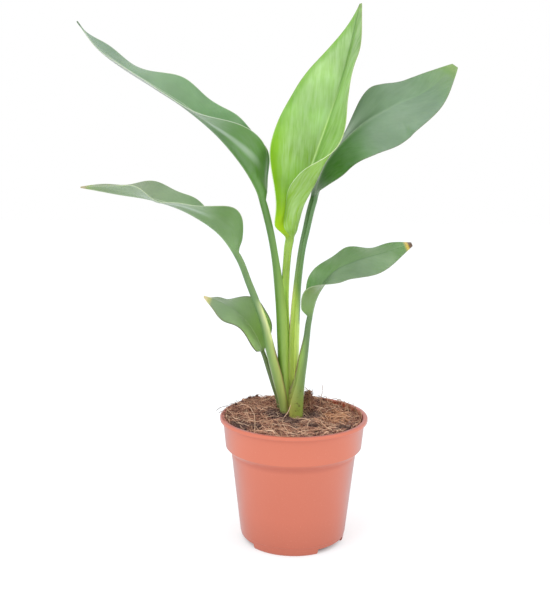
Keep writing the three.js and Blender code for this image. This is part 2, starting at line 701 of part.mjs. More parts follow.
// The room that a leaf's sheath and stalk take up, with the play around it. The younger
// sheaths inside it, and the soil, are cut back to it.
function makeStalkRoom(leaf, steps) {
  const rings = [];
  const sides = 12;
  const grow = 1 / Math.cos(Math.PI / sides);
  for (let k = 0; k <= steps; k++) {
    const step = Math.min(k / LEAF.stalkSteps - 1, -0.001);
    const frame = leafFrame(leaf, step);
    const centre = frame.centre.clone();
    if (k === 0) centre.z -= 2;
    rings.push(Array.from({ length: sides }, (unused, n) => {
      const a = (n / sides) * 2 * Math.PI;
      return centre.clone()
        .addScaledVector(frame.side, grow * (frame.wide + GAP) * Math.cos(a))
        .addScaledVector(frame.front, grow * (frame.deep + GAP) * Math.sin(a));
    }));
  }
  return toSolid(tubeSolid(rings));
}

const plant = new THREE.Group();

plant.add(named('pot', makePot(), finish(0xd98a78, 0.45)));

let soil = makeSoilBody();
soil = soil.add(makeTuft());
for (const clod of scatter(SOIL.clods, 11, makeClod)) soil = soil.add(clod);
for (const fibre of scatter(SOIL.fibres, 5, makeFibre)) soil = soil.add(fibre);
soil = soil.subtract(makeCrown(GAP));

const rooms = [];
const stepsInSoil = 4;
for (const leaf of LEAVES) {
  let solid = makeLeaf(leaf);
  for (const room of rooms) solid = solid.subtract(room);
  rooms.push(makeStalkRoom(leaf, LEAF.stalkSteps));
  soil = soil.subtract(makeStalkRoom(leaf, stepsInSoil));
  plant.add(named(leaf.name, largestPiece(solid), finish(leaf.colour, 0.4)));
}

plant.add(named('soil', largestPiece(soil), finish(0x6b4434, 0.95)));
plant.add(named('root_crown', makeCrown(0), finish(0xcbb48a, 0.7)));

export default plant;
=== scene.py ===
# %% [markdown]
# # A potted bird of paradise
#
# This lesson dresses a young strelitzia in a plastic nursery pot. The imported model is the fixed
# frame: it says where each piece is. Each piece is then made again, finer, in the same place.
# Everything is in metres, +Z is up, and the origin is the middle of the pot's foot. The leaves
# fan out in the X-Z plane, and -Y is the front.

import math
from functools import reduce

import bpy
import numpy as np
from mathutils import Euler, Matrix, Vector


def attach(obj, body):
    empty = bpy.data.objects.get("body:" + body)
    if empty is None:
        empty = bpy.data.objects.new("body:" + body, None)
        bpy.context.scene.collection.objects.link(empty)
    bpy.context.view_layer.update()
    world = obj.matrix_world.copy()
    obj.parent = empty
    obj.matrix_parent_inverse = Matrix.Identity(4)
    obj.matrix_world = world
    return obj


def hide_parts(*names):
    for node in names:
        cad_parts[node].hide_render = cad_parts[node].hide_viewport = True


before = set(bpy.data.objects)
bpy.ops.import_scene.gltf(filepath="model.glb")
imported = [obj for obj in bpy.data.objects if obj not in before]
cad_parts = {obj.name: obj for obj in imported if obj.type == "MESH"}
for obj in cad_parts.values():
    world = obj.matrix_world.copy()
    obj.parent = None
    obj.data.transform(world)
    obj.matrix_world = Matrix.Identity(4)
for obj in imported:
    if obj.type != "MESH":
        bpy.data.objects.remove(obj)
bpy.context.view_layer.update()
MM = 0.001
print("nodes:", sorted(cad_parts))

# %% [markdown]
# ## Camera
#
# The plant is seen from a little above its pot, from about two thirds of a metre away. A lens of
# 50 mm on the default sensor gives that frame. The camera tips down by nine degrees, and it
# is turned and rolled by a hair, as a camera held on a stand often is.

# %% Set up the camera
CAMERA_PLACE = (0, -0.667, 0.302)
TIP_DOWN, TURN, ROLL = math.radians(9.2), math.radians(-1.37), math.radians(0.42)
aim = Euler((math.pi / 2 - TIP_DOWN, 0, -TURN)).to_matrix() @ Matrix.Rotation(ROLL, 3, "Z")
bpy.ops.object.camera_add(location=CAMERA_PLACE, rotation=aim.to_euler())
camera = bpy.context.object
camera.data.lens = 50
camera.data.clip_start = 0.01
bpy.context.scene.camera = camera
print("camera at", tuple(round(v, 3) for v in camera.location))

# %% [markdown]
# ## Tools for working by hand
#
# An operator works on whatever is selected, so every piece starts with nothing selected. Faces
# and edges are then picked by their place. These few helpers keep the later cells short.

# %% Helpers for selecting and finishing


def select_only(*objects):
    bpy.ops.object.select_all(action="DESELECT")
    for item in objects:
        item.select_set(True)
    bpy.context.view_layer.objects.active = objects[0]


def name_piece(name):
    piece = bpy.context.object
    piece.name = name
    piece.data.name = name
    return piece


def use_modifier(piece, kind, **settings):
    select_only(piece)
    modifier = piece.modifiers.new(kind.title(), kind)
    for key, value in settings.items():
        setattr(modifier, key, value)
    bpy.ops.object.modifier_apply(modifier=modifier.name)


def smooth(piece, degrees):
    select_only(piece)
    bpy.ops.object.shade_smooth_by_angle(angle=math.radians(degrees))


def settle(piece):
    """Puts the piece's place into its mesh, so that the object sits at the origin."""
    select_only(piece)
    bpy.ops.object.transform_apply(location=True, rotation=True, scale=True)


def report(piece):
    size = [round(1000 * v, 1) for v in piece.dimensions]
    triangles = sum(len(p.vertices) - 2 for p in piece.data.polygons)
    print(f"{piece.name}: {size} mm, {triangles} triangles")


# %% [markdown]
# ## Pot: the shell
#
# The pot is a thin plastic moulding: a lip, a collar, a shoulder, a body that tapers, and a foot.
# It could be spun from a profile, or lathed. Here it is drawn up as on a wheel: a disc is the
# middle of the foot, and its edge is extruded and resized ring after ring, under the
# foot, up the outside, over the lip and down the inside. That keeps it one closed skin.

# %% Draw the pot up ring after ring
POT_STEPS = 192
# Radius and height of each ring, in mm, from the centre foot round to the inside of the floor.
POT_PROFILE = [
    (7.4, 0), (8, 0.6), (9.5, 5), (38.6, 5), (38.6, 0.5), (39, 0), (40.9, 0), (41.6, 0.35), (42.1, 1.1),
    (42.4, 2.2), (42.95, 6.6), (43.35, 7), (50.9, 73.6), (51.4, 74.4), (54.8, 77.9), (55.4, 78.6),
    (57.5, 99.6), (57.7, 100), (59.5, 100), (59.9, 100.3), (59.98, 100.8), (59.98, 102.2), (59.7, 102.8),
    (59.1, 103), (57.2, 103), (56.5, 102.7), (56.3, 102.2), (56.3, 100), (54.1, 79.8), (49.6, 74.2),
    (41.4, 6.3), (8.2, 6.3), (6.7, 1.3),
]


def draw_up(name, profile, steps):
    bpy.ops.object.select_all(action="DESELECT")
    radius, height = profile[0]
    bpy.ops.mesh.primitive_circle_add(
        vertices=steps, radius=radius * MM, fill_type="NGON", location=(0, 0, height * MM))
    piece = name_piece(name)
    settle(piece)
    bpy.ops.object.mode_set(mode="EDIT")
    bpy.ops.mesh.select_mode(type="EDGE")
    bpy.ops.mesh.select_all(action="SELECT")
    bpy.ops.mesh.region_to_loop()
    for (r0, z0), (r1, z1) in zip(profile, profile[1:]):
        bpy.ops.mesh.extrude_edges_move(TRANSFORM_OT_translate={"value": (0, 0, (z1 - z0) * MM)})
        bpy.ops.transform.resize(value=(r1 / r0, r1 / r0, 1), center_override=(0, 0, z1 * MM))
    bpy.ops.mesh.edge_face_add()
    bpy.ops.mesh.select_all(action="SELECT")
    bpy.ops.mesh.normals_make_consistent(inside=False)
    bpy.ops.object.mode_set(mode="OBJECT")
    return piece


pot = draw_up("pot_shell", POT_PROFILE, POT_STEPS)
report(pot)

# %% [markdown]
# ## Pot: drain notches and holes
#
# Water leaves through holes in the raised floor and through three shallow notches in the foot
# ring. Both are cut with cutters, as a mould's cores would leave them. The cutters are a
# box with rounded upright edges and a plain round pin.

# %% Cut the notches and the drain holes
NOTCH_TURNS = (-39, 81, 201)
NOTCH_WIDTH, NOTCH_DEPTH, NOTCH_HEIGHT, NOTCH_REACH = 32.5, 14, 4.3, 41.2
DRAIN_HOLES, DRAIN_RADIUS, DRAIN_CIRCLE = 6, 3.6, 27


def cut_away(piece, cutter):
    use_modifier(piece, "BOOLEAN", object=cutter, operation="DIFFERENCE", solver="EXACT")
    bpy.data.objects.remove(cutter)


for turn in NOTCH_TURNS:
    a = math.radians(turn)
    reach = NOTCH_REACH * MM
    bpy.ops.object.select_all(action="DESELECT")
    bpy.ops.mesh.primitive_cube_add(
        size=1, location=(reach * math.cos(a), reach * math.sin(a), (NOTCH_HEIGHT / 2 - 1) * MM),
        rotation=(0, 0, a), scale=(NOTCH_DEPTH * MM, NOTCH_WIDTH * MM, (NOTCH_HEIGHT + 2) * MM))
    cutter = name_piece("notch_cutter")
    settle(cutter)
    use_modifier(cutter, "BEVEL", width=0.6 * MM, segments=3)
    cut_away(pot, cutter)
for k in range(DRAIN_HOLES):
    a = (k / DRAIN_HOLES) * 2 * math.pi + math.pi / 6
    bpy.ops.object.select_all(action="DESELECT")
    bpy.ops.mesh.primitive_cylinder_add(
        vertices=32, radius=DRAIN_RADIUS * MM, depth=6 * MM,
        location=(DRAIN_CIRCLE * MM * math.cos(a), DRAIN_CIRCLE * MM * math.sin(a), 5.6 * MM))
    cutter = name_piece("drain_cutter")
    settle(cutter)
    cut_away(pot, cutter)
smooth(pot, 28)
report(pot)

# %% [markdown]
# ## Soil: the bed
#
# The bed is damp coir and peat. It is heaped against the rim at the left and the back, it has a tuft
# behind the stalks, and it is full of small hollows. A round body is drawn up inside the pot as the
# pot was. Its top is then pushed up and down by the heaps and by a few layers of noise.

# %% Heaps and hollows
SOIL_LEVEL = 100.3
# Each heap: x, y, radius and height in mm. Three small ones lie under the clods at the lip, and the
# last one is the tuft behind the stalks.
SOIL_HEAPS = [(-46, 12, 20, 3), (-18, 6, 13, 4), (-36, 40, 18, 4), (-8, 52, 16, 4), (18, 46, 12, 4.2),
              (-38, 38.5, 3, 1), (-32, 43.5, 3.2, 0.9), (-49, 22.5, 2.6, 1.2), (12, 25, 5, 14)]
BED_RADIUS, LIP_TOP = 55.7, 103.2


def rough(x, y, size, seed):
    """Smooth noise, mostly between -1 and 1, at places given in mm, from nine turned waves."""
    draw = np.random.default_rng(seed)
    total = np.zeros(np.shape(x))
    for _ in range(9):
        heading, phase = draw.uniform(0, 2 * np.pi, 2)
        length = size * draw.uniform(0.7, 1.5)
        total += np.sin(2 * np.pi * (x * np.cos(heading) + y * np.sin(heading)) / length + phase)
    return total / 4.5


def soil_height(x, y):
    """The height of the bed in mm at x and y in mm."""
    heaps = sum(high * np.exp(-((x - hx) ** 2 + (y - hy) ** 2) / wide ** 2)
                for hx, hy, wide, high in SOIL_HEAPS)
    lumps = 0.5 * rough(x, y, 22, 1) + 0.6 * rough(x, y, 9, 2) + 0.35 * rough(x, y, 4, 3)
    droop = 0.8 * (np.hypot(x, y) / 55.4) ** 6
    return SOIL_LEVEL - 0.01 * x + heaps + lumps - droop


def ground(x, y):
    """The bed, and past its edge the top of the pot's lip."""
    bed_high = soil_height(x, y)
    return np.where(np.hypot(x, y) > BED_RADIUS - 0.1, np.maximum(bed_high, LIP_TOP), bed_high)


# %% Lay the soil bed
BED_BASE, BED_STEPS, BED_RINGS, RING_STEP = 98, 288, 69, 0.8
bed_side = [(30, 6.6), (41.1, 6.6), (49.4, 74.1), (53.9, 79.9), (55.3, 93), (BED_RADIUS, 97)]
bed_top = [(BED_RADIUS - RING_STEP * k, BED_BASE) for k in range(BED_RINGS)]
bed = draw_up("soil_bed", bed_side + bed_top, BED_STEPS)
points = np.empty(len(bed.data.vertices) * 3)
bed.data.vertices.foreach_get("co", points)
points = points.reshape(-1, 3)
on_top = points[:, 2] > (BED_BASE - 0.5) * MM
x, y = points[on_top, 0] / MM, points[on_top, 1] / MM
points[on_top, 2] = (soil_height(x, y) + 0.35 * rough(x, y, 1.9, 4)) * MM
bed.data.vertices.foreach_set("co", points.reshape(-1))
smooth(bed, 60)
report(bed)

# %% [markdown]
# ## Soil: crumbs and fibres
#
# Coir is the hair of a coconut husk, so the surface is a mat of thin curved strands with crumbs of
# peat between them. One strand and one crumb are made by hand, with only a few dozen faces
# each. They are then copied many times: each copy is bent, turned and sized by a seeded draw
# and pressed into the bed. Joined, they make one piece of each kind.

# %% Model one strand and one crumb
STRAND_RINGS = 7
bpy.ops.object.select_all(action="DESELECT")
bpy.ops.mesh.primitive_circle_add(vertices=3, radius=1, fill_type="NGON")
strand = name_piece("strand_master")
bpy.ops.object.mode_set(mode="EDIT")
bpy.ops.mesh.select_all(action="SELECT")
for _ in range(STRAND_RINGS - 1):
    bpy.ops.mesh.extrude_region_move(TRANSFORM_OT_translate={"value": (0, 0, 1)})
bpy.ops.mesh.select_all(action="SELECT")
bpy.ops.mesh.normals_make_consistent(inside=False)
bpy.ops.object.mode_set(mode="OBJECT")

bpy.ops.object.select_all(action="DESELECT")
bpy.ops.mesh.primitive_cube_add(size=2)
crumb = name_piece("crumb_master")
bpy.ops.object.mode_set(mode="EDIT")
bpy.ops.mesh.subdivide(number_cuts=1)
bpy.ops.object.mode_set(mode="OBJECT")
for vertex in crumb.data.vertices:
    place = vertex.co.normalized()
    dent = math.sin(5 * place.x + 1) * math.sin(4 * place.y) + 0.6 * math.sin(6 * place.z + 4 * place.x)
    vertex.co = place * (1 + 0.22 * dent)
report(strand)
report(crumb)

# %% Copy a master many times


def read_mesh(piece):
    """A mesh as its points and its faces, each face as a tuple."""
    points = np.empty(len(piece.data.vertices) * 3)
    piece.data.vertices.foreach_get("co", points)
    return points.reshape(-1, 3), [tuple(face.vertices) for face in piece.data.polygons]


def strew(name, master, copies, tones):
    """One mesh out of many bent copies of a master, with a tone for each copy."""
    points, faces = read_mesh(master)
    count = len(points)
    all_faces = [tuple(v + k * count for v in face) for k in range(len(copies)) for face in faces]
    mesh = bpy.data.meshes.new(name)
    mesh.from_pydata(np.concatenate(copies) * MM, [], all_faces)
    tone = mesh.attributes.new("tone", "FLOAT", "POINT")
    tone.data.foreach_set("value", np.repeat(tones, count).astype(np.float32))
    piece = bpy.data.objects.new(name, mesh)
    bpy.context.scene.collection.objects.link(piece)
    smooth(piece, 60)
    report(piece)
    return piece


# %% Bend one strand along a path
strand_points, _ = read_mesh(strand)
strand_step = np.round(strand_points[:, 2]).astype(int)


def bend_strand(path, radius):
    """The master strand, laid along a path of as many points as it has rings."""
    along = np.gradient(path, axis=0)
    along /= np.linalg.norm(along, axis=1, keepdims=True)
    side = np.cross(along, (0.0, 0.0, 1.0))
    side /= np.maximum(np.linalg.norm(side, axis=1, keepdims=True), 1e-6)
    up = np.cross(side, along)
    ring_marks = [0, 1, STRAND_RINGS - 2, STRAND_RINGS - 1]
    thin = radius * np.interp(np.arange(STRAND_RINGS), ring_marks, [0.5, 1, 1, 0.4])
    k = strand_step
    return (path[k] + (thin[k] * strand_points[:, 0])[:, None] * side[k]
            + (thin[k] * strand_points[:, 1])[:, None] * up[k])


def wandering_path(draw, x, y, length, lift):
    """A strand's path over the bed: it sets out, curves, and dips back in at both ends."""
    heading = draw.uniform(0, 2 * np.pi)
    turn = draw.normal(0, 1.5)
    s = np.linspace(-0.5, 0.5, STRAND_RINGS)
    angle = heading + turn * s + draw.normal(0, 0.8) * s ** 2
    step = length / (STRAND_RINGS - 1)
    px = x + np.concatenate([[0], np.cumsum(np.cos(angle[:-1]))]) * step
    py = y + np.concatenate([[0], np.cumsum(np.sin(angle[:-1]))]) * step
    arch = (1 - (2 * s) ** 2) * lift
    tilt = draw.normal(0, 0.25) * s * length
    return np.stack([px, py, ground(px, py) - 0.5 + arch + tilt], 1)


def keep_inside(path, limit):
    """Pulls the points of a path in to a radius."""
    r = np.hypot(path[:, 0], path[:, 1])
    squeeze = np.minimum(1, limit / np.maximum(r, 1e-6))
    path[:, :2] *= squeeze[:, None]
    return path


# %% Lay the mat of strands
BED_STRANDS, LIP_STRANDS, TUFT_STRANDS = 3000, 170, 150
MAT_RADIUS, INSIDE_WALL, ON_LIP = 55, 55.2, 58.2
# Nearest and farthest mm from the middle, and first and last bearing in degrees.
STRANDS_AT_LIP = (50, 57.5, 78, 196)
CLUMP_X, CLUMP_Y, CLUMP_RADIUS, CLUMP_BARE = -1.5, 8, 13, 0.8
TUFT_PLACE, TUFT_SPREAD = (12, 25, 0), (3, 3.4, 0)


def draw_place(draw, radius):
    """A place on a disc, drawn evenly over it."""
    r, a = radius * math.sqrt(draw.uniform()), draw.uniform(0, 2 * math.pi)
    return r * math.cos(a), r * math.sin(a)


def draw_on_ring(draw, nearest, farthest, first, last):
    """A place between two distances and between two bearings in degrees."""
    r, a = draw.uniform(nearest, farthest), math.radians(draw.uniform(first, last))
    return r * math.cos(a), r * math.sin(a)


draw = np.random.default_rng(21)
mat, tones = [], []
while len(mat) < BED_STRANDS:
    x, y = draw_place(draw, MAT_RADIUS)
    by_stalks = math.hypot(x - CLUMP_X, y - CLUMP_Y) < CLUMP_RADIUS
    if by_stalks and draw.uniform() < CLUMP_BARE:
        continue
    path = wandering_path(draw, x, y, draw.uniform(5, 20), draw.uniform(0.3, 2))
    mat.append(bend_strand(keep_inside(path, INSIDE_WALL), 0.1 + 0.24 * draw.uniform() ** 2))
    tones.append(draw.uniform(0, 1))
# At the left and the back the mat spills on to the lip.
for _ in range(LIP_STRANDS):
    x, y = draw_on_ring(draw, *STRANDS_AT_LIP)
    path = wandering_path(draw, x, y, draw.uniform(4, 11), draw.uniform(0.5, 2))
    mat.append(bend_strand(keep_inside(path, ON_LIP), draw.uniform(0.12, 0.3)))
    tones.append(draw.uniform(0, 1))
# The tuft behind the stalks is a ball of short strands.
for _ in range(TUFT_STRANDS):
    middle = np.array(TUFT_PLACE) + draw.normal(0, 1, 3) * TUFT_SPREAD
    heading, rise = draw.uniform(0, 2 * np.pi), draw.normal(0, 0.6)
    reach = np.array([math.cos(heading), math.sin(heading), rise]) * draw.uniform(2, 4.5)
    middle[2] = float(soil_height(middle[0], middle[1])) + draw.uniform(-0.5, 3.2)
    bow = np.array([0, 0, draw.uniform(0.3, 1.6)])
    path = np.stack([middle + reach * u + bow * (1 - u * u) for u in np.linspace(-1, 1, STRAND_RINGS)])
    mat.append(bend_strand(path, draw.uniform(0.14, 0.32)))
    tones.append(draw.uniform(0, 0.8))
coir_mat = strew("coir_mat", strand, mat, tones)

# %% Press crumbs into the bed
BED_CRUMBS, LIP_CRUMBS, BARK_FLAKES, BARK_TONE = 420, 70, 26, 2
CRUMB_RADIUS, CRUMB_LIMIT, CRUMBS_AT_LIP = 53, 54.8, (51, 57.5, 80, 190)
# Clods and crumbs on the heaps at the back and on the tuft: x, y, size and how far out each stands,
# as a share of its size.
CLODS = [
    (-38, 39, 1.8, 0.6), (-39, 37, 1.3, 0.6), (-32, 43.5, 1.8, 0.6), (-35, 41.5, 1.3, 0.5),
    (-30, 45, 1.2, 0.5), (-48.5, 22, 1.4, 0.5), (-50, 24, 1.1, 0.4), (8.5, 26, 1.7, 0.3),
    (10.5, 25, 1.9, 0.4), (12, 24, 1.6, 0.6), (9.2, 24, 1.1, 0.7), (14.5, 24, 1.7, 0.3),
    (16.5, 26, 1.4, 0.3), (13, 26, 1.3, 0.9), (18.5, 34, 1.6, 0.4), (20, 40, 1.8, 0.4),
    (22, 45, 1.5, 0.5), (26, 46, 1.2, 0.4),
]
crumb_points, _ = read_mesh(crumb)
crumbs, tones = [], []


def lay_crumb(draw, x, y, size, lift):
    """The master crumb, turned and squashed, on the ground at x and y in mm."""
    turn = Matrix.Rotation(draw.uniform(0, 6.28), 3, "Z")
    spin = turn @ Matrix.Rotation(draw.uniform(-0.6, 0.6), 3, "X")
    squash = np.array([1, draw.uniform(0.55, 0.95), draw.uniform(0.4, 0.75)])
    points = (crumb_points * squash) @ np.array(spin).T * size
    return points + np.array([x, y, float(ground(x, y)) + lift * size])


while len(crumbs) < BED_CRUMBS:
    x, y = draw_place(draw, CRUMB_RADIUS)
    size = draw.uniform(0.5, 1.7)
    if math.hypot(x, y) + size < CRUMB_LIMIT:
        crumbs.append(lay_crumb(draw, x, y, size, draw.uniform(-0.2, 0.35)))
        tones.append(draw.uniform(0, 1))
for x, y, size, lift in CLODS:
    crumbs.append(lay_crumb(draw, x, y, size, lift))
    tones.append(draw.uniform(0, 0.5))
for _ in range(LIP_CRUMBS):
    x, y = draw_on_ring(draw, *CRUMBS_AT_LIP)
    crumbs.append(lay_crumb(draw, x, y, draw.uniform(0.4, 1.1), 0.15))
    tones.append(draw.uniform(0, 1))
# Grey flakes of bark at the right. Their tone sets them apart.
for _ in range(BARK_FLAKES):
    x, y = draw.uniform(37, 49), draw.uniform(-20, 0)
    crumbs.append(lay_crumb(draw, x, y, draw.uniform(0.6, 1.3), 0.3))
    tones.append(BARK_TONE)
peat_crumbs = strew("peat_crumbs", crumb, crumbs, tones)

# %% [markdown]
# ## Soil: the loose strands on top
#
# A few long strands lie loose on the mat, and some hang over the rim. They are placed one by one,
# because the eye finds them at once. Each is a smooth path through a few points, made of three
# copies of the strand in a row. Shorter loose strands are then strewn between them.

# %% Follow a smooth path


def smooth_path(keys, at):
    """Points at shares from 0 to 1 of a smooth curve through evenly spaced keys."""
    keys = np.asarray(keys, float)
    flat = keys.ndim == 1
    keys = keys.reshape(len(keys), -1)
    n = len(keys) - 1
    at = np.clip(at, 0, 1) * n
    i = np.minimum(at.astype(int), n - 1)
    u = (at - i)[:, None]
    padded = np.concatenate([[2 * keys[0] - keys[1]], keys, [2 * keys[n] - keys[n - 1]]])
    a, b, c, d = (padded[i + k] for k in range(4))
    square, cube = 2 * a - 5 * b + 4 * c - d, 3 * b - a - 3 * c + d
    value = 0.5 * (2 * b + (c - a) * u + square * u ** 2 + cube * u ** 3)
    return value[:, 0] if flat else value


# %% Lay the loose strands
SHORT_STRANDS, SHORT_STRANDS_ON = 260, (12, 53, 0, 360)
PARTS, PART_OVERLAP = 3, 0.012
# Each strand: its points as x, y and height above the bed, in mm, then its radius and its tone.
LOOSE_STRANDS = [
    ([(-2.5, -6, 12), (-5, -7, 6), (-8, -9, 2), (-8.7, -14, 1.5), (-8, -24, 1.5), (-5, -39, 2),
      (-3, -46, 1)], 0.32, 0.95),
    ([(-40, 18, 1), (-36, 10, 2), (-32, -6, 2.6), (-30.5, -24, 2.4), (-30, -38, 1.6),
      (-29.6, -47, 1.2)], 0.36, 0.95),
    ([(21, 20, 1), (24, 8, 2.4), (27, -4, 2.2), (28, -10, 0.5)], 0.3, 0.95),
    ([(22, -4, 1), (22.4, -18, 2.5), (27, -32, 2.5), (31.5, -42, 2.4), (34, -47, 1)], 0.32, 0.95),
    ([(-44, 8, 1), (-50, 13, 2.5), (-56, 14, 2.4), (-61, 10, 2), (-64, 4, 1)], 0.28, 0.15),
    ([(-42, 3, 1), (-50, 4, 2.5), (-57, 2, 2), (-61.5, -2, 1)], 0.22, 0.15),
    ([(11, 20, 1), (10, 22, 4), (9, 24, 6), (6, 20, 3)], 0.26, 0.6),
    ([(22, 24, 1), (22.5, 26, 8), (24, 27, 16), (23.4, 27, 22)], 0.26, 0.6),
    ([(38, 6, 1), (41, -4, 2.6), (38, -14, 2.4), (32, -20, 1)], 0.26, 0.95),
    ([(-20, -20, 1), (-13, -27, 2), (-5, -28, 2.4), (3, -33, 1)], 0.24, 0.95),
    ([(10, -36, 1), (18, -38, 2.4), (26, -33, 2), (30, -24, 1)], 0.24, 0.95),
    ([(-50, -10, 1), (-47, -19, 2), (-40, -26, 2), (-34, -28, 1)], 0.22, 0.95),
    ([(44, 20, 1), (36, 24, 2), (30, 20, 2), (26, 12, 1)], 0.24, 0.95),
    ([(-36, 46, 0.5), (-33, 48, 2.6), (-30, 49, 2.8), (-27, 49, 0.5)], 0.26, 0.6),
]
loose, tones = [], []
for keys, radius, strand_tone in LOOSE_STRANDS:
    for part in range(PARTS):
        end = (part + 1) / PARTS + (PART_OVERLAP if part < PARTS - 1 else 0)
        path = smooth_path(keys, np.linspace(part / PARTS, end, STRAND_RINGS))
        path[:, 2] += ground(path[:, 0], path[:, 1])
        loose.append(bend_strand(path, radius))
        tones.append(strand_tone)
for _ in range(SHORT_STRANDS):
    x, y = draw_on_ring(draw, *SHORT_STRANDS_ON)
    path = wandering_path(draw, x, y, draw.uniform(10, 24), draw.uniform(1.6, 3.4))
    loose.append(bend_strand(keep_inside(path, INSIDE_WALL), draw.uniform(0.15, 0.3)))
    tones.append(draw.uniform(0.55, 1))
loose_strands = strew("loose_strands", strand, loose, tones)

# %% [markdown]
# ## Leaves: how one leaf grows
#
# A strelitzia leaf is one thing from sheath to tip. Low down it is a thick channelled stalk that
# wraps the younger ones. Higher up the channel opens into a blade, with a keel under its midrib.
# The blade is folded along the midrib, curls, and has a waved margin. Pulling vertices about
# by hand would never join these smoothly, so a grid is added by hand and its points are
# then laid out by the leaf's own numbers: a path, widths, folds, curls and waves.

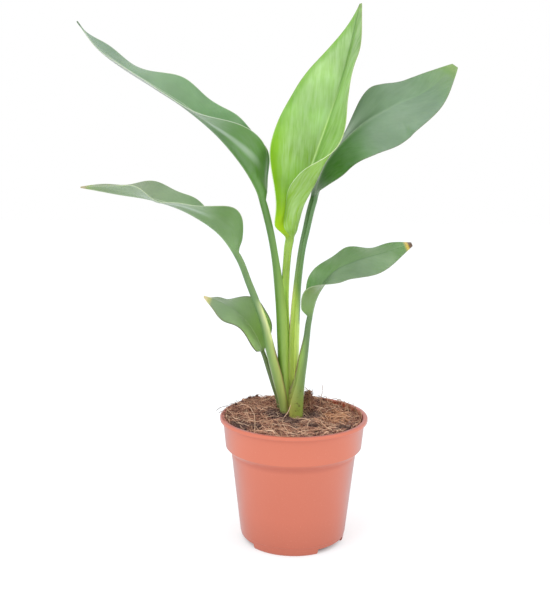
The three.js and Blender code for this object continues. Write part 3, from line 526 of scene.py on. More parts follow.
# %% The numbers of the six leaves
# stalk: x, y, z, half width across the fan, half depth front to back. midrib: x, y, z.
# face: where the blade's upper side looks. Each half of the blade has its half width, where it is
# widest (rise and fall), its fold and curl in degrees from base to tip, its margin's wave as
# height, count and phase in degrees, and its fullness from base to tip. Lengths are in mm. The young
# leaf also has its own blend, the share of the blade over which it opens, and slant of side veins.
LEAVES = {
    "upper_left": dict(
        stalk=[(-5.5, 12, 87, 4.5, 7.5), (-6.5, 12, 109, 4.6, 7.5), (-8, 11.5, 135, 5, 7.2),
               (-9, 10.5, 161, 5.2, 6.6), (-10.3, 9, 187, 5, 5.8), (-12.7, 8, 209, 4.3, 4.7),
               (-15.7, 6.5, 230, 3.4, 3.6), (-19.5, 5, 251, 3.3, 3.4), (-25, 4, 273, 3.3, 3.3)],
        midrib=[(-30, 3.5, 287), (-42, 3, 306), (-61.5, 2, 328), (-85.5, 1, 347.5), (-109.5, 0, 362.5),
                (-134, -2, 377.5), (-155, -4, 394), (-168.3, -6, 412.5)],
        face=[(0.8, 0, 0.6), (0.8, 0, 0.8), (0.5, 0, 0.8), (0.5, 0, 0.8)],
        left=dict(width=29.5, rise=1.16, fall=1.16, fold=(75, 101, 48, 7, -2, -10, -6, 37),
                  curl=(45, 50, 44, 26, 3, -2, 0, 0), wave=(5.9, 1.57, 36),
                  fullness=(1.02, 1.01, 1.03, 0.97, 0.94, 0.98, 1.01, 1.04, 1, 0.99)),
        right=dict(width=22.6, rise=0.66, fall=0.94, fold=(-21, 36, 90, 60, 41, 36, 18, 12),
                   curl=(20, 13, 5, -1, 0, 0, 0, 0), wave=(4.5, 3.64, 52),
                   fullness=(0.96, 1, 1.06, 0.92, 0.97, 1.04, 0.93, 1.01, 1, 1))),
    "lower_left": dict(
        stalk=[(-6, 8, 87, 4, 6), (-8, 8, 110, 4.3, 6.5), (-13, 6.5, 133, 5, 6.5),
               (-18.5, 5, 154, 4.5, 5.4), (-24, 3, 177, 3.8, 4.3), (-29.5, 1, 193, 3.3, 3.6),
               (-36.5, 0, 211, 3, 3.1), (-45, -1, 232, 2.9, 3)],
        midrib=[(-60, -2, 252), (-85, -3, 268), (-112, -4, 277), (-140, -4, 281), (-171, -4, 286)],
        face=[(0.8, 0, 0.6), (0.5, 0, 0.8), (0.2, 0, 0.9), (0, 0, 1)],
        left=dict(width=27.7, rise=0.94, fall=1.31, fold=(88, 77, 38, 18, -9, 22, 55, 81),
                  curl=(40, 34, 17, -2, 0, 0, 0, 0), wave=(6.2, 1.74, 71),
                  fullness=(0.91, 1.02, 1.09, 1.02, 0.99, 1.02, 0.98, 0.98, 0.98, 1.02)),
        right=dict(width=25, rise=0.6, fall=0.8, fold=(-12, -4, 6, 21, 30, 31, 25, 20),
                   curl=(20, 21, 12, -1, 0, 0, 0, 0), wave=(1.7, 3.85, 279),
                   fullness=(1, 1, 1, 0.99, 1, 1.01, 0.99, 1.01, 1, 1))),
    "small_left": dict(
        stalk=[(-8, 17.5, 87, 3.2, 3.2), (-12, 18, 110, 3, 3.2), (-16, 18, 121, 2.4, 2.6),
               (-20.5, 18, 134, 2, 2.2), (-26, 17, 151, 1.8, 2)],
        midrib=[(-34, 15, 169), (-46, 14, 184), (-60, 13, 193), (-75, 12, 199)],
        face=[(0.6, -0.4, 0.6), (0.4, -0.6, 0.7), (0.25, -0.7, 0.7)],
        left=dict(width=20.1, rise=0.51, fall=0.87, fold=(10, 20, 19, 9, -1, 0),
                  curl=(0, 0, 0, 0, 0, 0), wave=(1.6, 2.08, 150),
                  fullness=(0.97, 0.99, 1, 1, 1, 1, 1.02, 1.02, 1.02, 1.01)),
        right=dict(width=21, rise=0.6, fall=1.06, fold=(14, 19, 19, -9, -41, -35),
                   curl=(0, 0, 0, 0, 0, 0), wave=(2, 3.26, 229),
                   fullness=(1, 0.98, 0.98, 1.01, 1.04, 1, 1, 1, 0.99, 0.99))),
    "young": dict(
        blend=0.07, slant=3,
        stalk=[(-2, 15, 91, 2.9, 2.9), (-3.5, 15, 121, 3, 3), (-6, 14, 156, 3.1, 3.1),
               (-8, 12.5, 191, 3.1, 3.1), (-7.8, 11, 211, 3.1, 3.1), (-6.8, 9.5, 229, 3.1, 3.1),
               (-5, 8.5, 244, 3.5, 3.5)],
        midrib=[(1.5, 8, 271), (11.2, 8, 302), (24, 9, 338), (35, 11, 372), (41, 13, 396),
                (48.6, 15, 430.5)],
        face=[(-0.1, -1, 0), (-0.1, -1, 0)],
        left=dict(width=36.8, rise=0.62, fall=1.09, fold=(20, 27, 24, 11, 1, -5, -12, -16),
                  curl=(30, 35, 30, 0, 7, -8, -21, -36), wave=(2.5, 3.19, 261),
                  fullness=(0.95, 0.79, 0.87, 0.98, 1.02, 1.01, 1.02, 0.99, 1, 0.99)),
        right=dict(width=35.8, rise=0.56, fall=0.91, fold=(39, 32, 19, 51, 68, 79, 76, 79),
                   curl=(90, 215, 171, 30, 1, -18, -17, -11), wave=(2.6, 1.97, 7),
                   fullness=(1.01, 0.86, 0.98, 0.98, 0.98, 1.1, 0.99, 1, 0.99, 0.99))),
    "upper_right": dict(
        stalk=[(-0.5, 12, 87, 4.3, 7.5), (-0.5, 12, 113, 4.3, 7.5), (-0.5, 12, 141, 4.2, 7),
               (-0.2, 11.3, 169, 4.1, 6.2), (0.6, 10, 191, 3.7, 5.2), (2, 9, 211, 3.1, 3.9),
               (4.9, 8, 236, 2.9, 3.2), (8.5, 8, 254, 3, 3), (13.3, 9, 275, 3.1, 3.1)],
        midrib=[(24, 13, 306), (47, 15, 332), (75, 14, 350), (100, 12, 362), (123, 10, 382.5)],
        face=[(-0.5, -0.6, 0.5), (-0.4, -0.8, 0.55), (-0.3, -0.85, 0.55)],
        left=dict(width=28.8, rise=0.69, fall=0.68, fold=(-9, -49, -38, -14, -5, -16, -21),
                  curl=(0, 0, 0, 0, 0, 0, 0), wave=(2.6, 3.13, 211),
                  fullness=(1.01, 1.02, 1.01, 1.02, 0.93, 1.07, 0.92, 0.99, 0.97, 0.98)),
        right=dict(width=30.1, rise=0.64, fall=0.61, fold=(53, 5, -8, -20, -12, 12, 24),
                   curl=(0, 0, 0, 0, 0, 0, 0), wave=(2.8, 3.02, 110),
                   fullness=(1.02, 1.05, 0.95, 1, 0.94, 1.01, 1.02, 0.98, 0.99, 0.99))),
    "lower_right": dict(
        stalk=[(-1.2, 4.4, 87, 7.8, 6), (-0.4, 4, 109, 8.1, 6.4), (4, 3, 131, 4.9, 5.4),
               (7, 0.5, 151, 3.9, 4.5), (9.4, -2, 167, 2.8, 3.2), (11.4, -4.5, 183, 2.4, 2.5)],
        midrib=[(17, -6, 203), (30, -7, 221), (48, -8, 230.5), (68, -9, 237), (92, -10, 245)],
        face=[(-0.6, -0.3, 0.6), (-0.35, -0.6, 0.7), (-0.2, -0.6, 0.8)],
        left=dict(width=17.1, rise=0.69, fall=0.6, fold=(24, 20, 13, 0, -10, -18, -16),
                  curl=(0, 0, 0, 0, 0, 0, 0), wave=(2.1, 3.33, 124),
                  fullness=(1, 1.01, 1.02, 1.01, 0.97, 1.02, 0.99, 1, 1, 1)),
        right=dict(width=18.6, rise=0.61, fall=0.68, fold=(72, 55, 23, 4, -13, -15, 2),
                   curl=(50, 47, 25, 3, -5, 0, 0), wave=(2.7, 2.57, 280),
                   fullness=(0.99, 0.97, 1, 1.02, 0.98, 1.02, 0.99, 1.01, 1.03, 1.01))),
}
print("leaves:", ", ".join(LEAVES))

# %% [markdown]
# ## Leaves: from numbers to points
#
# At each step along the leaf there is a section across it. On the stalk the section is an oval
# with a channel in its upper side. On the blade it is a thin bent sheet, thicker at the keel.
# The two are blended where the blade starts. The grid's upper and lower points come from here.

# %% Frames along a leaf
STALK_STEPS, BLADE_STEPS, HALF_STEPS = 46, 128, 18
BLADE_THICKNESS, BLEND, TIP_END = 0.6, 0.08, 0.984
SHEATH_EDGE, SHEATH_LIP, GROOVE = math.radians(128), math.radians(135), 0.42
PLEAT_HEIGHT, PLEAT_LENGTH, PLEAT_SLANT = 0.06, 5.2, 1.2


def unit(v):
    return v / np.maximum(np.linalg.norm(v, axis=-1, keepdims=True), 1e-12)


def square_to(v, along):
    return unit(v - (v * along).sum(-1, keepdims=True) * along)


def leaf_frames(leaf, stalk_at, blade_at):
    """Places, directions and stalk half sizes, for steps on the stalk and then on the blade."""
    stalk = np.array(leaf["stalk"], float)
    path = np.concatenate([stalk[:, :3], np.array(leaf["midrib"], float)])
    base, end = len(stalk) - 1, len(path) - 1
    at = np.concatenate([stalk_at * base / end, (base + blade_at * (end - base)) / end])
    place = smooth_path(path, at)
    before, after = smooth_path(path, np.maximum(at - 1e-3, 0)), smooth_path(path, np.minimum(at + 1e-3, 1))
    along = unit(after - before)
    stalk_face = np.repeat([leaf["face"][0]], len(stalk_at), 0)
    face = square_to(np.concatenate([stalk_face, smooth_path(leaf["face"], blade_at)]), along)
    front = square_to(np.array([0, -1.0, 0]), along)
    tapering = (0.12 + 0.88 * (1 - blade_at)[:, None] ** 0.9) * stalk[-1, 3:5]
    half_size = np.concatenate([smooth_path(stalk[:, 3:5], stalk_at), tapering])
    return place, along, face, np.cross(along, face), np.cross(along, front), front, half_size


# %% Sections across the blade


def width_share(half, t):
    """How wide half a blade is along its length, as a share of its greatest width."""
    widest = half["rise"] / (half["rise"] + half["fall"])
    share = (t / widest) ** half["rise"] * ((1 - t) / (1 - widest)) ** half["fall"]
    return share * smooth_path(half["fullness"], t)


def blade_half(half, t, v, keel_wide, keel_high, along_mm, slant):
    """Upper and lower section points of one half of the blade, and how far each is from the rib."""
    width = (half["width"] * width_share(half, t))[:, None]
    fold = np.radians(smooth_path(half["fold"], t))[:, None]
    curl = np.radians(smooth_path(half["curl"], t))[:, None]
    curl = np.where(np.abs(curl) < 1e-4, 1e-4, curl)
    height, count, phase = half["wave"]
    t, v = t[:, None], v[None]
    angle = fold + curl * v
    out = width * (np.sin(angle) - np.sin(fold)) / curl
    up = -width * (np.cos(angle) - np.cos(fold)) / curl
    wave = height * v ** 2 * np.sin(2 * np.pi * count * t + np.radians(phase)) * np.sqrt(np.sin(np.pi * t))
    vein = along_mm[:, None] - slant * v * width
    pleat = PLEAT_HEIGHT * np.sin(2 * np.pi * vein / PLEAT_LENGTH) * np.sqrt(v) * (1 - v ** 6)
    wave = wave + pleat * np.clip(width / 12, 0, 1) * np.clip(t * 8, 0, 1)
    nx, ny = -np.sin(angle), np.cos(angle)
    upper = np.stack([out + wave * nx, up + wave * ny + 0.2 * keel_high], -1)
    from_rib = v * width
    keel = np.maximum(1.2 * keel_high - BLADE_THICKNESS, 0)
    keel = keel * np.exp(-(from_rib / (1.3 * keel_wide + 0.5)) ** 2)
    near = np.exp(-(from_rib / 1.5) ** 2)
    down = unit(np.stack([nx * (1 - near), ny * (1 - near) + near], -1))
    return upper, upper - (BLADE_THICKNESS + keel)[..., None] * down, from_rib, width - from_rib


# %% All the points of a leaf


def leaf_points(leaf):
    """The upper and the lower grid of a leaf in mm, with the measures that its finish follows."""
    stalk_at = np.linspace(0, 1, STALK_STEPS, endpoint=False)
    blade_at = TIP_END * np.linspace(0, 1, BLADE_STEPS + 1) ** 1.1
    place, along, face, across, side, front, half_size = leaf_frames(leaf, stalk_at, blade_at)
    steps = np.linalg.norm(np.diff(place, axis=0), axis=1)
    along_mm = np.concatenate([[0], np.cumsum(steps)])
    along_mm -= along_mm[STALK_STEPS]
    t = np.concatenate([np.full(STALK_STEPS, 1e-9), np.maximum(blade_at, 1e-9)])
    share = np.clip(np.concatenate([np.zeros(STALK_STEPS), blade_at / leaf.get("blend", BLEND)]), 0, 1)
    share = (share ** 2 * (3 - 2 * share))[:, None, None]
    v = np.linspace(0, 1, HALF_STEPS + 1) ** 1.2
    wide, deep = half_size[:, :1], half_size[:, 1:]

    def on_stalk(p, q):
        flat = p[..., None] * across[:, None] + q[..., None] * face[:, None]
        out = (flat * side[:, None]).sum(-1, keepdims=True) * side[:, None] * wide[:, None]
        return out + (flat * front[:, None]).sum(-1, keepdims=True) * front[:, None] * deep[:, None]

    one = np.ones((len(t), 1))
    keel_high = np.linalg.norm(on_stalk(0 * one, one), axis=-1)
    keel_wide = np.linalg.norm(on_stalk(one, 0 * one), axis=-1)
    grids = {}
    for sign, key in ((-1, "left"), (1, "right")):
        upper, lower, from_rib, to_edge = blade_half(
            leaf[key], t, v, keel_wide, keel_high, along_mm, leaf.get("slant", PLEAT_SLANT))
        groove = -math.cos(SHEATH_LIP) - GROOVE * (1 - v ** 2)
        lip = on_stalk(one * v * sign * math.sin(SHEATH_LIP), one * groove)
        hull = on_stalk(one * sign * np.sin(v * SHEATH_EDGE), -one * np.cos(v * SHEATH_EDGE))

        def in_place(points):
            return sign * points[..., :1] * across[:, None] + points[..., 1:] * face[:, None]

        top = place[:, None] + (1 - share) * lip + share * in_place(upper)
        under = place[:, None] + (1 - share) * hull + share * in_place(lower)
        grids[key] = [top, under, sign * from_rib, to_edge]

    def join(k):
        return np.concatenate([grids["left"][k][:, ::-1], grids["right"][k][:, 1:]], 1)

    top, under, from_rib, to_edge = (join(k) for k in range(4))
    measures = {
        "rib_mm": from_rib,
        "edge_mm": to_edge,
        "along_mm": np.repeat(along_mm[:, None], top.shape[1], 1),
        "share": np.repeat(t[:, None], top.shape[1], 1),
        "blade": np.repeat(share[:, :, 0], top.shape[1], 1),
    }

    def with_side(points):
        """Adds how far to the right of the middle a point is, in half widths of the stalk."""
        return points, {**measures, "side": ((points - place[:, None]) * side[:, None]).sum(-1) / wide}

    return with_side(top), with_side(under)


# %% [markdown]
# ## Leaves: the grid becomes a leaf
#
# Two grids are added, one for the upper side and one for the underside. Their points are laid
# out, the two are joined, and a bridge closes the margin all round. The measures are kept on the
# points, so that veins, midrib, margin and stalk colours follow each leaf however it bends.

# %% Make the leaves


def lay_grid(name, points, measures, upper):
    rows, columns = points.shape[:2]
    bpy.ops.object.select_all(action="DESELECT")
    bpy.ops.mesh.primitive_grid_add(x_subdivisions=columns - 1, y_subdivisions=rows - 1, size=1)
    grid = name_piece(name)
    grid.data.vertices.foreach_set("co", (points * MM).reshape(-1))
    for key, values in {**measures, "upper": np.full(points.shape[:2], float(upper))}.items():
        attribute = grid.data.attributes.new(key, "FLOAT", "POINT")
        attribute.data.foreach_set("value", values.reshape(-1).astype(np.float32))
    if not upper:
        grid.data.flip_normals()
    return grid


def grow_leaf(name, leaf):
    top, under = leaf_points(leaf)
    piece = lay_grid(name, *top, True)
    lower = lay_grid(name + "_under", *under, False)
    select_only(piece, lower)
    bpy.ops.object.join()
    bpy.ops.object.mode_set(mode="EDIT")
    bpy.ops.mesh.select_mode(type="EDGE")
    bpy.ops.mesh.select_all(action="DESELECT")
    bpy.ops.mesh.select_non_manifold(
        use_wire=False, use_multi_face=False, use_non_contiguous=False, use_verts=False)
    bpy.ops.mesh.bridge_edge_loops()
    bpy.ops.object.mode_set(mode="OBJECT")
    smooth(piece, 50)
    report(piece)
    return piece


leaves = {name: grow_leaf("leaf_" + name + "_grown", leaf) for name, leaf in LEAVES.items()}

# %% [markdown]
# ## Finishes: a few helpers
#
# Colours are written as they look on a screen, from 0 to 255, and turned into light values. A
# short helper adds a shader node and wires its inputs in order, which keeps each finish readable.

# %% Helpers for colours and nodes


def paint(red, green, blue):
    def light(c):
        c /= 255
        return c / 12.92 if c <= 0.04045 else ((c + 0.055) / 1.055) ** 2.4
    return (light(red), light(green), light(blue), 1)


def wire(tree, kind, *feeds, **settings):
    node = tree.nodes.new("ShaderNode" + kind)
    for key, value in settings.items():
        setattr(node, key, value)
    for socket, feed in zip(node.inputs, feeds):
        if isinstance(feed, bpy.types.NodeSocket):
            tree.links.new(feed, socket)
        elif feed is not None:
            socket.default_value = feed
    return node


def sums(tree, operation, a, b=None, c=None):
    return wire(tree, "Math", a, b, c, operation=operation).outputs[0]


def times(tree, *values):
    return reduce(lambda a, b: sums(tree, "MULTIPLY", a, b), values)


def largest(tree, values):
    return reduce(lambda a, b: sums(tree, "MAXIMUM", a, b), values)


def ramp(tree, value, low, high, to_low=0.0, to_high=1.0):
    """Eases from one number to another while the value goes from low to high."""
    node = wire(tree, "MapRange", value, low, high, to_low, to_high, interpolation_type="SMOOTHSTEP")
    return node.outputs[0]


def mix(tree, mask, a, b, how="MIX"):
    node = tree.nodes.new("ShaderNodeMix")
    node.data_type = "RGBA"
    node.blend_type = how
    for socket, feed in zip((node.inputs[0], node.inputs[6], node.inputs[7]), (mask, a, b)):
        if isinstance(feed, bpy.types.NodeSocket):
            tree.links.new(feed, socket)
        else:
            socket.default_value = feed
    return node.outputs[2]


def stops(tree, value, marks, low=0.0, high=1.0):
    """A colour that changes with a value. Each mark is a value and its red, green and blue."""
    node = wire(tree, "ValToRGB", wire(tree, "MapRange", value, low, high).outputs[0])
    elements = node.color_ramp.elements
    placed = [((at - low) / (high - low), paint(*colour)) for at, *colour in marks]
    elements[0].position, elements[0].color = placed[0]
    elements[1].position, elements[1].color = placed[-1]
    for at, colour in placed[1:-1]:
        elements.new(at).color = colour
    return node.outputs[0]


# %% Helpers for patterns and finishes


def noise(tree, place, scale, detail=2.0, roughness=0.5):
    node = wire(tree, "TexNoise", place)
    node.inputs["Scale"].default_value = scale
    node.inputs["Detail"].default_value = detail
    node.inputs["Roughness"].default_value = roughness
    return node.outputs[0]


def measure(tree, name):
    return wire(tree, "Attribute", attribute_name=name).outputs["Fac"]


def object_place(tree, stretch=(1, 1, 1)):
    coordinates = wire(tree, "TexCoord").outputs["Object"]
    return wire(tree, "Mapping", coordinates, None, None, stretch).outputs[0]


def patch(tree, place, x, y, wide, deep, ragged=0.7):
    """One inside a ragged oval on the ground, and zero outside it. Its place is in mm."""
    centred = wire(tree, "VectorMath", place, (x * MM, y * MM, 0), operation="SUBTRACT").outputs[0]
    scale = (1 / (wide * MM), 1 / (deep * MM), 0)
    oval = wire(tree, "VectorMath", centred, scale, operation="MULTIPLY").outputs[0]
    away = wire(tree, "VectorMath", oval, operation="LENGTH").outputs["Value"]
    wobble = sums(tree, "MULTIPLY_ADD", noise(tree, place, 240, 3), 2 * ragged, -ragged)
    return ramp(tree, sums(tree, "ADD", away, wobble), 0.7, 1.25, 1.0, 0.0)


def band(tree, value, low, high, soft):
    """One while the value is between two limits, with soft ends."""
    rise = ramp(tree, value, low - soft, low + soft)
    return times(tree, rise, ramp(tree, value, high - soft, high + soft, 1.0, 0.0))


def new_finish(name, roughness):
    material = bpy.data.materials.new(name)
    material.use_nodes = True
    tree = material.node_tree
    shader = tree.nodes["Principled BSDF"]
    shader.inputs["Roughness"].default_value = roughness
    return material, tree, shader


def bump(tree, shader, height, strength, distance):
    node = wire(tree, "Bump", strength, distance)
    tree.links.new(height, node.inputs["Height"])
    tree.links.new(node.outputs[0], shader.inputs["Normal"])


def put_on(material, *pieces):
    for piece in pieces:
        piece.data.materials.clear()
        piece.data.materials.append(material)
    print(material.name, "on", ", ".join(piece.name for piece in pieces))


# %% [markdown]
# ## Finish: the pot's plastic
#
# The plastic is a satin terracotta colour all through, with faint specks. It is painted a little darker low
# down as painted shade, and a painted shadow lies in the corner under the collar. It is a little deeper on
# top of the lip. At the sides, where it turns away, a painted sheen makes it greyer and pinker. A thin
# redder line runs round the inside of the lip.

# %% Pot plastic
# Heights and radii are in metres here, as the shader sees them.
# The corner under the collar holds a painted shadow between these two heights.
COLLAR_SHADOW_HEIGHTS = (0.0715, 0.0772)
LIP_TOP_RADII, INNER_LINE_RADII, RING_SOFT = (0.055, 0.0596), (0.055, 0.0574), 0.0003
# The body is painted darker towards the foot, as painted shade.
BODY_COLOURS_WITH_SHADE = [(0, 183, 97, 75), (0.03, 199, 107, 83), (0.07, 205, 111, 86), (0.076, 208, 114, 88),
                (0.103, 209, 114, 88)]
pot_plastic, tree, shader = new_finish("pot_plastic", 0.36)
place = object_place(tree)
up = wire(tree, "SeparateXYZ", place).outputs["Z"]
specks = ramp(tree, noise(tree, place, 900, 1), 0.64, 0.76)
clouds = noise(tree, place, 28, 3)
body = stops(tree, up, BODY_COLOURS_WITH_SHADE, 0, 0.103)
colour = mix(tree, times(tree, clouds, 0.12), body, paint(214, 128, 104))
colour = mix(tree, times(tree, specks, 0.14), colour, paint(224, 150, 126))
# A painted shadow in the corner under the collar, deeper and redder.
collar_shadow = band(tree, up, *COLLAR_SHADOW_HEIGHTS, 0.002)
colour = mix(tree, times(tree, collar_shadow, 0.4), colour, paint(176, 84, 68))
flat = wire(tree, "VectorMath", place, (1, 1, 0), operation="MULTIPLY").outputs[0]
radius = wire(tree, "VectorMath", flat, operation="LENGTH").outputs["Value"]
lip_top = times(tree, band(tree, radius, *LIP_TOP_RADII, RING_SOFT), ramp(tree, up, 0.1018, 0.1028))
colour = mix(tree, times(tree, lip_top, 0.7), colour, paint(184, 88, 70))
inner_line = times(tree, band(tree, radius, *INNER_LINE_RADII, RING_SOFT), ramp(tree, up, 0.101, 0.102))
colour = mix(tree, times(tree, inner_line, 0.7), colour, paint(184, 74, 54))
# A painted sheen: where the surface turns away from view, its colour goes greyer and pinker. It is kept off
# the painted shadow under the collar.
turned = wire(tree, "LayerWeight", 0.35).outputs["Facing"]
off_collar_shadow = sums(tree, "SUBTRACT", 1.0, collar_shadow)
painted_side_sheen = times(tree, ramp(tree, turned, 0.3, 0.95, 0.0, 0.75), off_collar_shadow)
colour = mix(tree, painted_side_sheen, colour, paint(168, 124, 124))
tree.links.new(colour, shader.inputs["Base Color"])
tree.links.new(ramp(tree, clouds, 0.3, 0.7, 0.33, 0.42), shader.inputs["Roughness"])
bump(tree, shader, noise(tree, place, 420, 2), 0.08, 0.0003)
put_on(pot_plastic, pot)

# %% [markdown]
# ## Finish: soil and coir
#
# Peat is dark brown, and almost purple where it is wet, which is round the stalks and in a few
# hollows. Coir is tan to red-brown, golden at the right, and each strand has its own tone, which is
# kept on its points.

# %% Where the soil is wet
# Each patch: x, y and its half width and half depth, in mm.
WET_PATCHES = [(-13, -1, 10, 9), (13, 3, 10, 13), (14, -23, 7, 5), (-30, -26, 6, 5), (1, -28, 4, 4),
               (-43, -28, 8, 12), (39, -30, 7, 9), (-2, -12, 9, 8)]
GOLD_PATCH = (35, 0, 10, 19)


def dampness(tree, place):
    """How wet the soil is: ragged patches, the largest ones round the stalks."""
    return largest(tree, [patch(tree, place, *oval) for oval in WET_PATCHES])


print("wet patches:", len(WET_PATCHES))

# %% Soil bed
soil_finish, tree, shader = new_finish("soil_bed", 0.9)
place = object_place(tree)
grain = noise(tree, place, 260, 4, 0.7)
dry = mix(tree, ramp(tree, grain, 0.35, 0.65), paint(56, 34, 30), paint(124, 84, 68))
wet = mix(tree, ramp(tree, grain, 0.35, 0.65), paint(44, 30, 34), paint(86, 64, 68))
colour = mix(tree, dampness(tree, place), dry, wet)
tree.links.new(colour, shader.inputs["Base Color"])
bump(tree, shader, grain, 0.8, 0.0012)
put_on(soil_finish, bed)

# %% Peat crumbs
crumb_finish, tree, shader = new_finish("peat_crumb", 0.85)
place = object_place(tree)
grain = noise(tree, place, 700, 3)
tone = measure(tree, "tone")
dry = mix(tree, tone, paint(84, 52, 44), paint(150, 104, 84))
dry = mix(tree, ramp(tree, grain, 0.4, 0.7), dry, paint(66, 42, 38))
colour = mix(tree, dampness(tree, place), dry, paint(58, 42, 44))
is_bark = ramp(tree, tone, BARK_TONE - 0.6, BARK_TONE - 0.4)
colour = mix(tree, is_bark, colour, paint(146, 138, 140))
tree.links.new(colour, shader.inputs["Base Color"])
bump(tree, shader, grain, 0.7, 0.0006)
put_on(crumb_finish, peat_crumbs)

# %% Coir strands
STRAND_COLOURS = [(0, 78, 44, 38), (0.3, 136, 88, 68), (0.6, 182, 130, 102), (0.85, 222, 176, 144),
                  (1, 246, 212, 180)]
strand_finish, tree, shader = new_finish("coir_strand", 0.6)
place = object_place(tree)
tone = measure(tree, "tone")
colour = stops(tree, tone, STRAND_COLOURS)
gold = times(tree, patch(tree, place, *GOLD_PATCH), 0.36)
colour = mix(tree, gold, colour, paint(214, 150, 96))
streaks = noise(tree, place, 1500, 1)
colour = mix(tree, times(tree, streaks, 0.25), colour, paint(124, 80, 64))
# Strands with a tone over 0.92, such as the long pale ones on top, stay dry.
damp = times(tree, dampness(tree, place), 0.72, ramp(tree, tone, 0.9, 0.94, 1.0, 0.0))
colour = mix(tree, damp, colour, paint(58, 40, 43))
tree.links.new(colour, shader.inputs["Base Color"])
bump(tree, shader, streaks, 0.3, 0.0002)
put_on(strand_finish, coir_mat, loose_strands)

# %% [markdown]
# ## Finish: the leaves' shared patterns
#
# Every leaf has the same build: close side veins that leave the midrib and run to the margin, a
# midrib, and a thin margin. They are two node groups, built once. The veins are noise drawn out
# along their own direction, so each one fades in and out. The groups hold masks only, and each
# leaf then lays its own colours on them.

# %% Group for side veins


def new_group(name, inputs, outputs):
    group = bpy.data.node_groups.new(name, "ShaderNodeTree")
    for key, default in inputs.items():
        socket = group.interface.new_socket(key, in_out="INPUT", socket_type="NodeSocketFloat")
        socket.default_value = default
    for key in outputs:
        group.interface.new_socket(key, in_out="OUTPUT", socket_type="NodeSocketFloat")
    return group, group.nodes.new("NodeGroupInput").outputs, group.nodes.new("NodeGroupOutput").inputs


# Each layer of veins: its name, its scale across and along the veins, and where noise turns to vein.
VEIN_LAYERS = [("Fine", 0.85, 0.28, 0.35, 0.65), ("Broad", 0.22, 0.75, 0.3, 0.7)]
vein_group, given, gives = new_group(
    "leaf side veins", {"Slant": 1.2, "Narrowing": 0.64}, ("Fine", "Broad", "Mottle"))
rib = measure(vein_group, "rib_mm")
outward = times(vein_group, sums(vein_group, "ABSOLUTE", rib), given["Slant"])
line = sums(vein_group, "SUBTRACT", measure(vein_group, "along_mm"), outward)
place = object_place(vein_group)
drift = sums(vein_group, "MULTIPLY_ADD", noise(vein_group, place, 60, 1), 3.0, line)
drift = sums(vein_group, "MULTIPLY_ADD", noise(vein_group, place, 170, 1), 2.6, drift)
across_veins = times(vein_group, drift, given["Narrowing"])
for key, scale, stretch, low, high in VEIN_LAYERS:
    on_veins = wire(vein_group, "CombineXYZ", across_veins, times(vein_group, rib, stretch)).outputs[0]
    vein_group.links.new(ramp(vein_group, noise(vein_group, on_veins, scale, 2), low, high), gives[key])
vein_group.links.new(noise(vein_group, place, 45, 3), gives["Mottle"])
print("group:", vein_group.name)

# %% Group for midrib, margin and tip
edge_group, given, gives = new_group(
    "leaf edges", {"Rib width": 0.9, "Margin width": 0.6, "Length": 150.0, "Tip length": 12.0},
    ("Rib", "Margin", "Tip"))
rib = sums(edge_group, "ABSOLUTE", measure(edge_group, "rib_mm"))
on_blade = measure(edge_group, "blade")
rib_mask = sums(edge_group, "SUBTRACT", 1.0, sums(edge_group, "DIVIDE", rib, given["Rib width"]))
rib_mask = ramp(edge_group, rib_mask, 0.0, 0.7)
edge_mask = sums(edge_group, "DIVIDE", measure(edge_group, "edge_mm"), given["Margin width"])
edge_mask = times(edge_group, ramp(edge_group, edge_mask, 0.4, 1.0, 1.0, 0.0), on_blade)
to_tip = sums(edge_group, "SUBTRACT", given["Length"], measure(edge_group, "along_mm"))
tip_mask = sums(edge_group, "SUBTRACT", 1.0, sums(edge_group, "DIVIDE", to_tip, given["Tip length"]))
edge_group.links.new(times(edge_group, rib_mask, on_blade), gives["Rib"])
edge_group.links.new(edge_mask, gives["Margin"])
edge_group.links.new(ramp(edge_group, tip_mask, 0.0, 1.0), gives["Tip"])
print("group:", edge_group.name)


def use_group(tree, group, **values):
    node = tree.nodes.new("ShaderNodeGroup")
    node.node_tree = group
    for key, value in values.items():
        node.inputs[key.replace("_", " ").capitalize()].default_value = value
    return node.outputs


# %% [markdown]
# ## Finish: stalks and sheaths
#
# The stalk is grey-green above and turns yellow-green down its sheath. It is not the same at its left
# and its right, so it has two rows of stops by height. Some sheaths have a thin dry or pale edge,
# and one has brown spots at its foot.

# %% Stalk colours
STEM_LOW, STEM_HIGH = 90, 290


def shaded(tree, colour, value, low, high):
    """The colour, darker or lighter as a value goes from 0.3 to 0.7."""
    shade = ramp(tree, value, 0.3, 0.7, low, high)
    return mix(tree, 1.0, colour, wire(tree, "CombineColor", shade, shade, shade).outputs[0], "MULTIPLY")


def stem_colour(tree, up_mm, streaks, left, right, edges=(), spots=()):
    """Stops by height at the left and the right, then thin coloured edges and soft spots.

    Each edge: its side, its lowest and highest mm, its width and its colour. Each group of spots:
    its lowest and highest mm, its strength and its colour.
    """
    side = measure(tree, "side")
    at_left, at_right = (stops(tree, up_mm, row, STEM_LOW, STEM_HIGH) for row in (left, right))
    colour = mix(tree, ramp(tree, side, -0.75, 0.75), at_left, at_right)
    colour = shaded(tree, colour, streaks, 0.94, 1.05)
    for sign, low, high, width, *tint in edges:
        near = ramp(tree, times(tree, side, float(sign)), 1 - width, 1 - 0.4 * width)
        broken = ramp(tree, streaks, 0.35, 0.5, 0.45, 0.95)
        mask = times(tree, near, band(tree, up_mm, low, high, 4.0), broken)
        colour = mix(tree, mask, colour, paint(*tint))
    for low, high, strength, *tint in spots:
        dots = ramp(tree, noise(tree, object_place(tree), 420, 2), 0.56, 0.68, 0.0, strength)
        colour = mix(tree, times(tree, dots, band(tree, up_mm, low, high, 5.0)), colour, paint(*tint))
    return colour
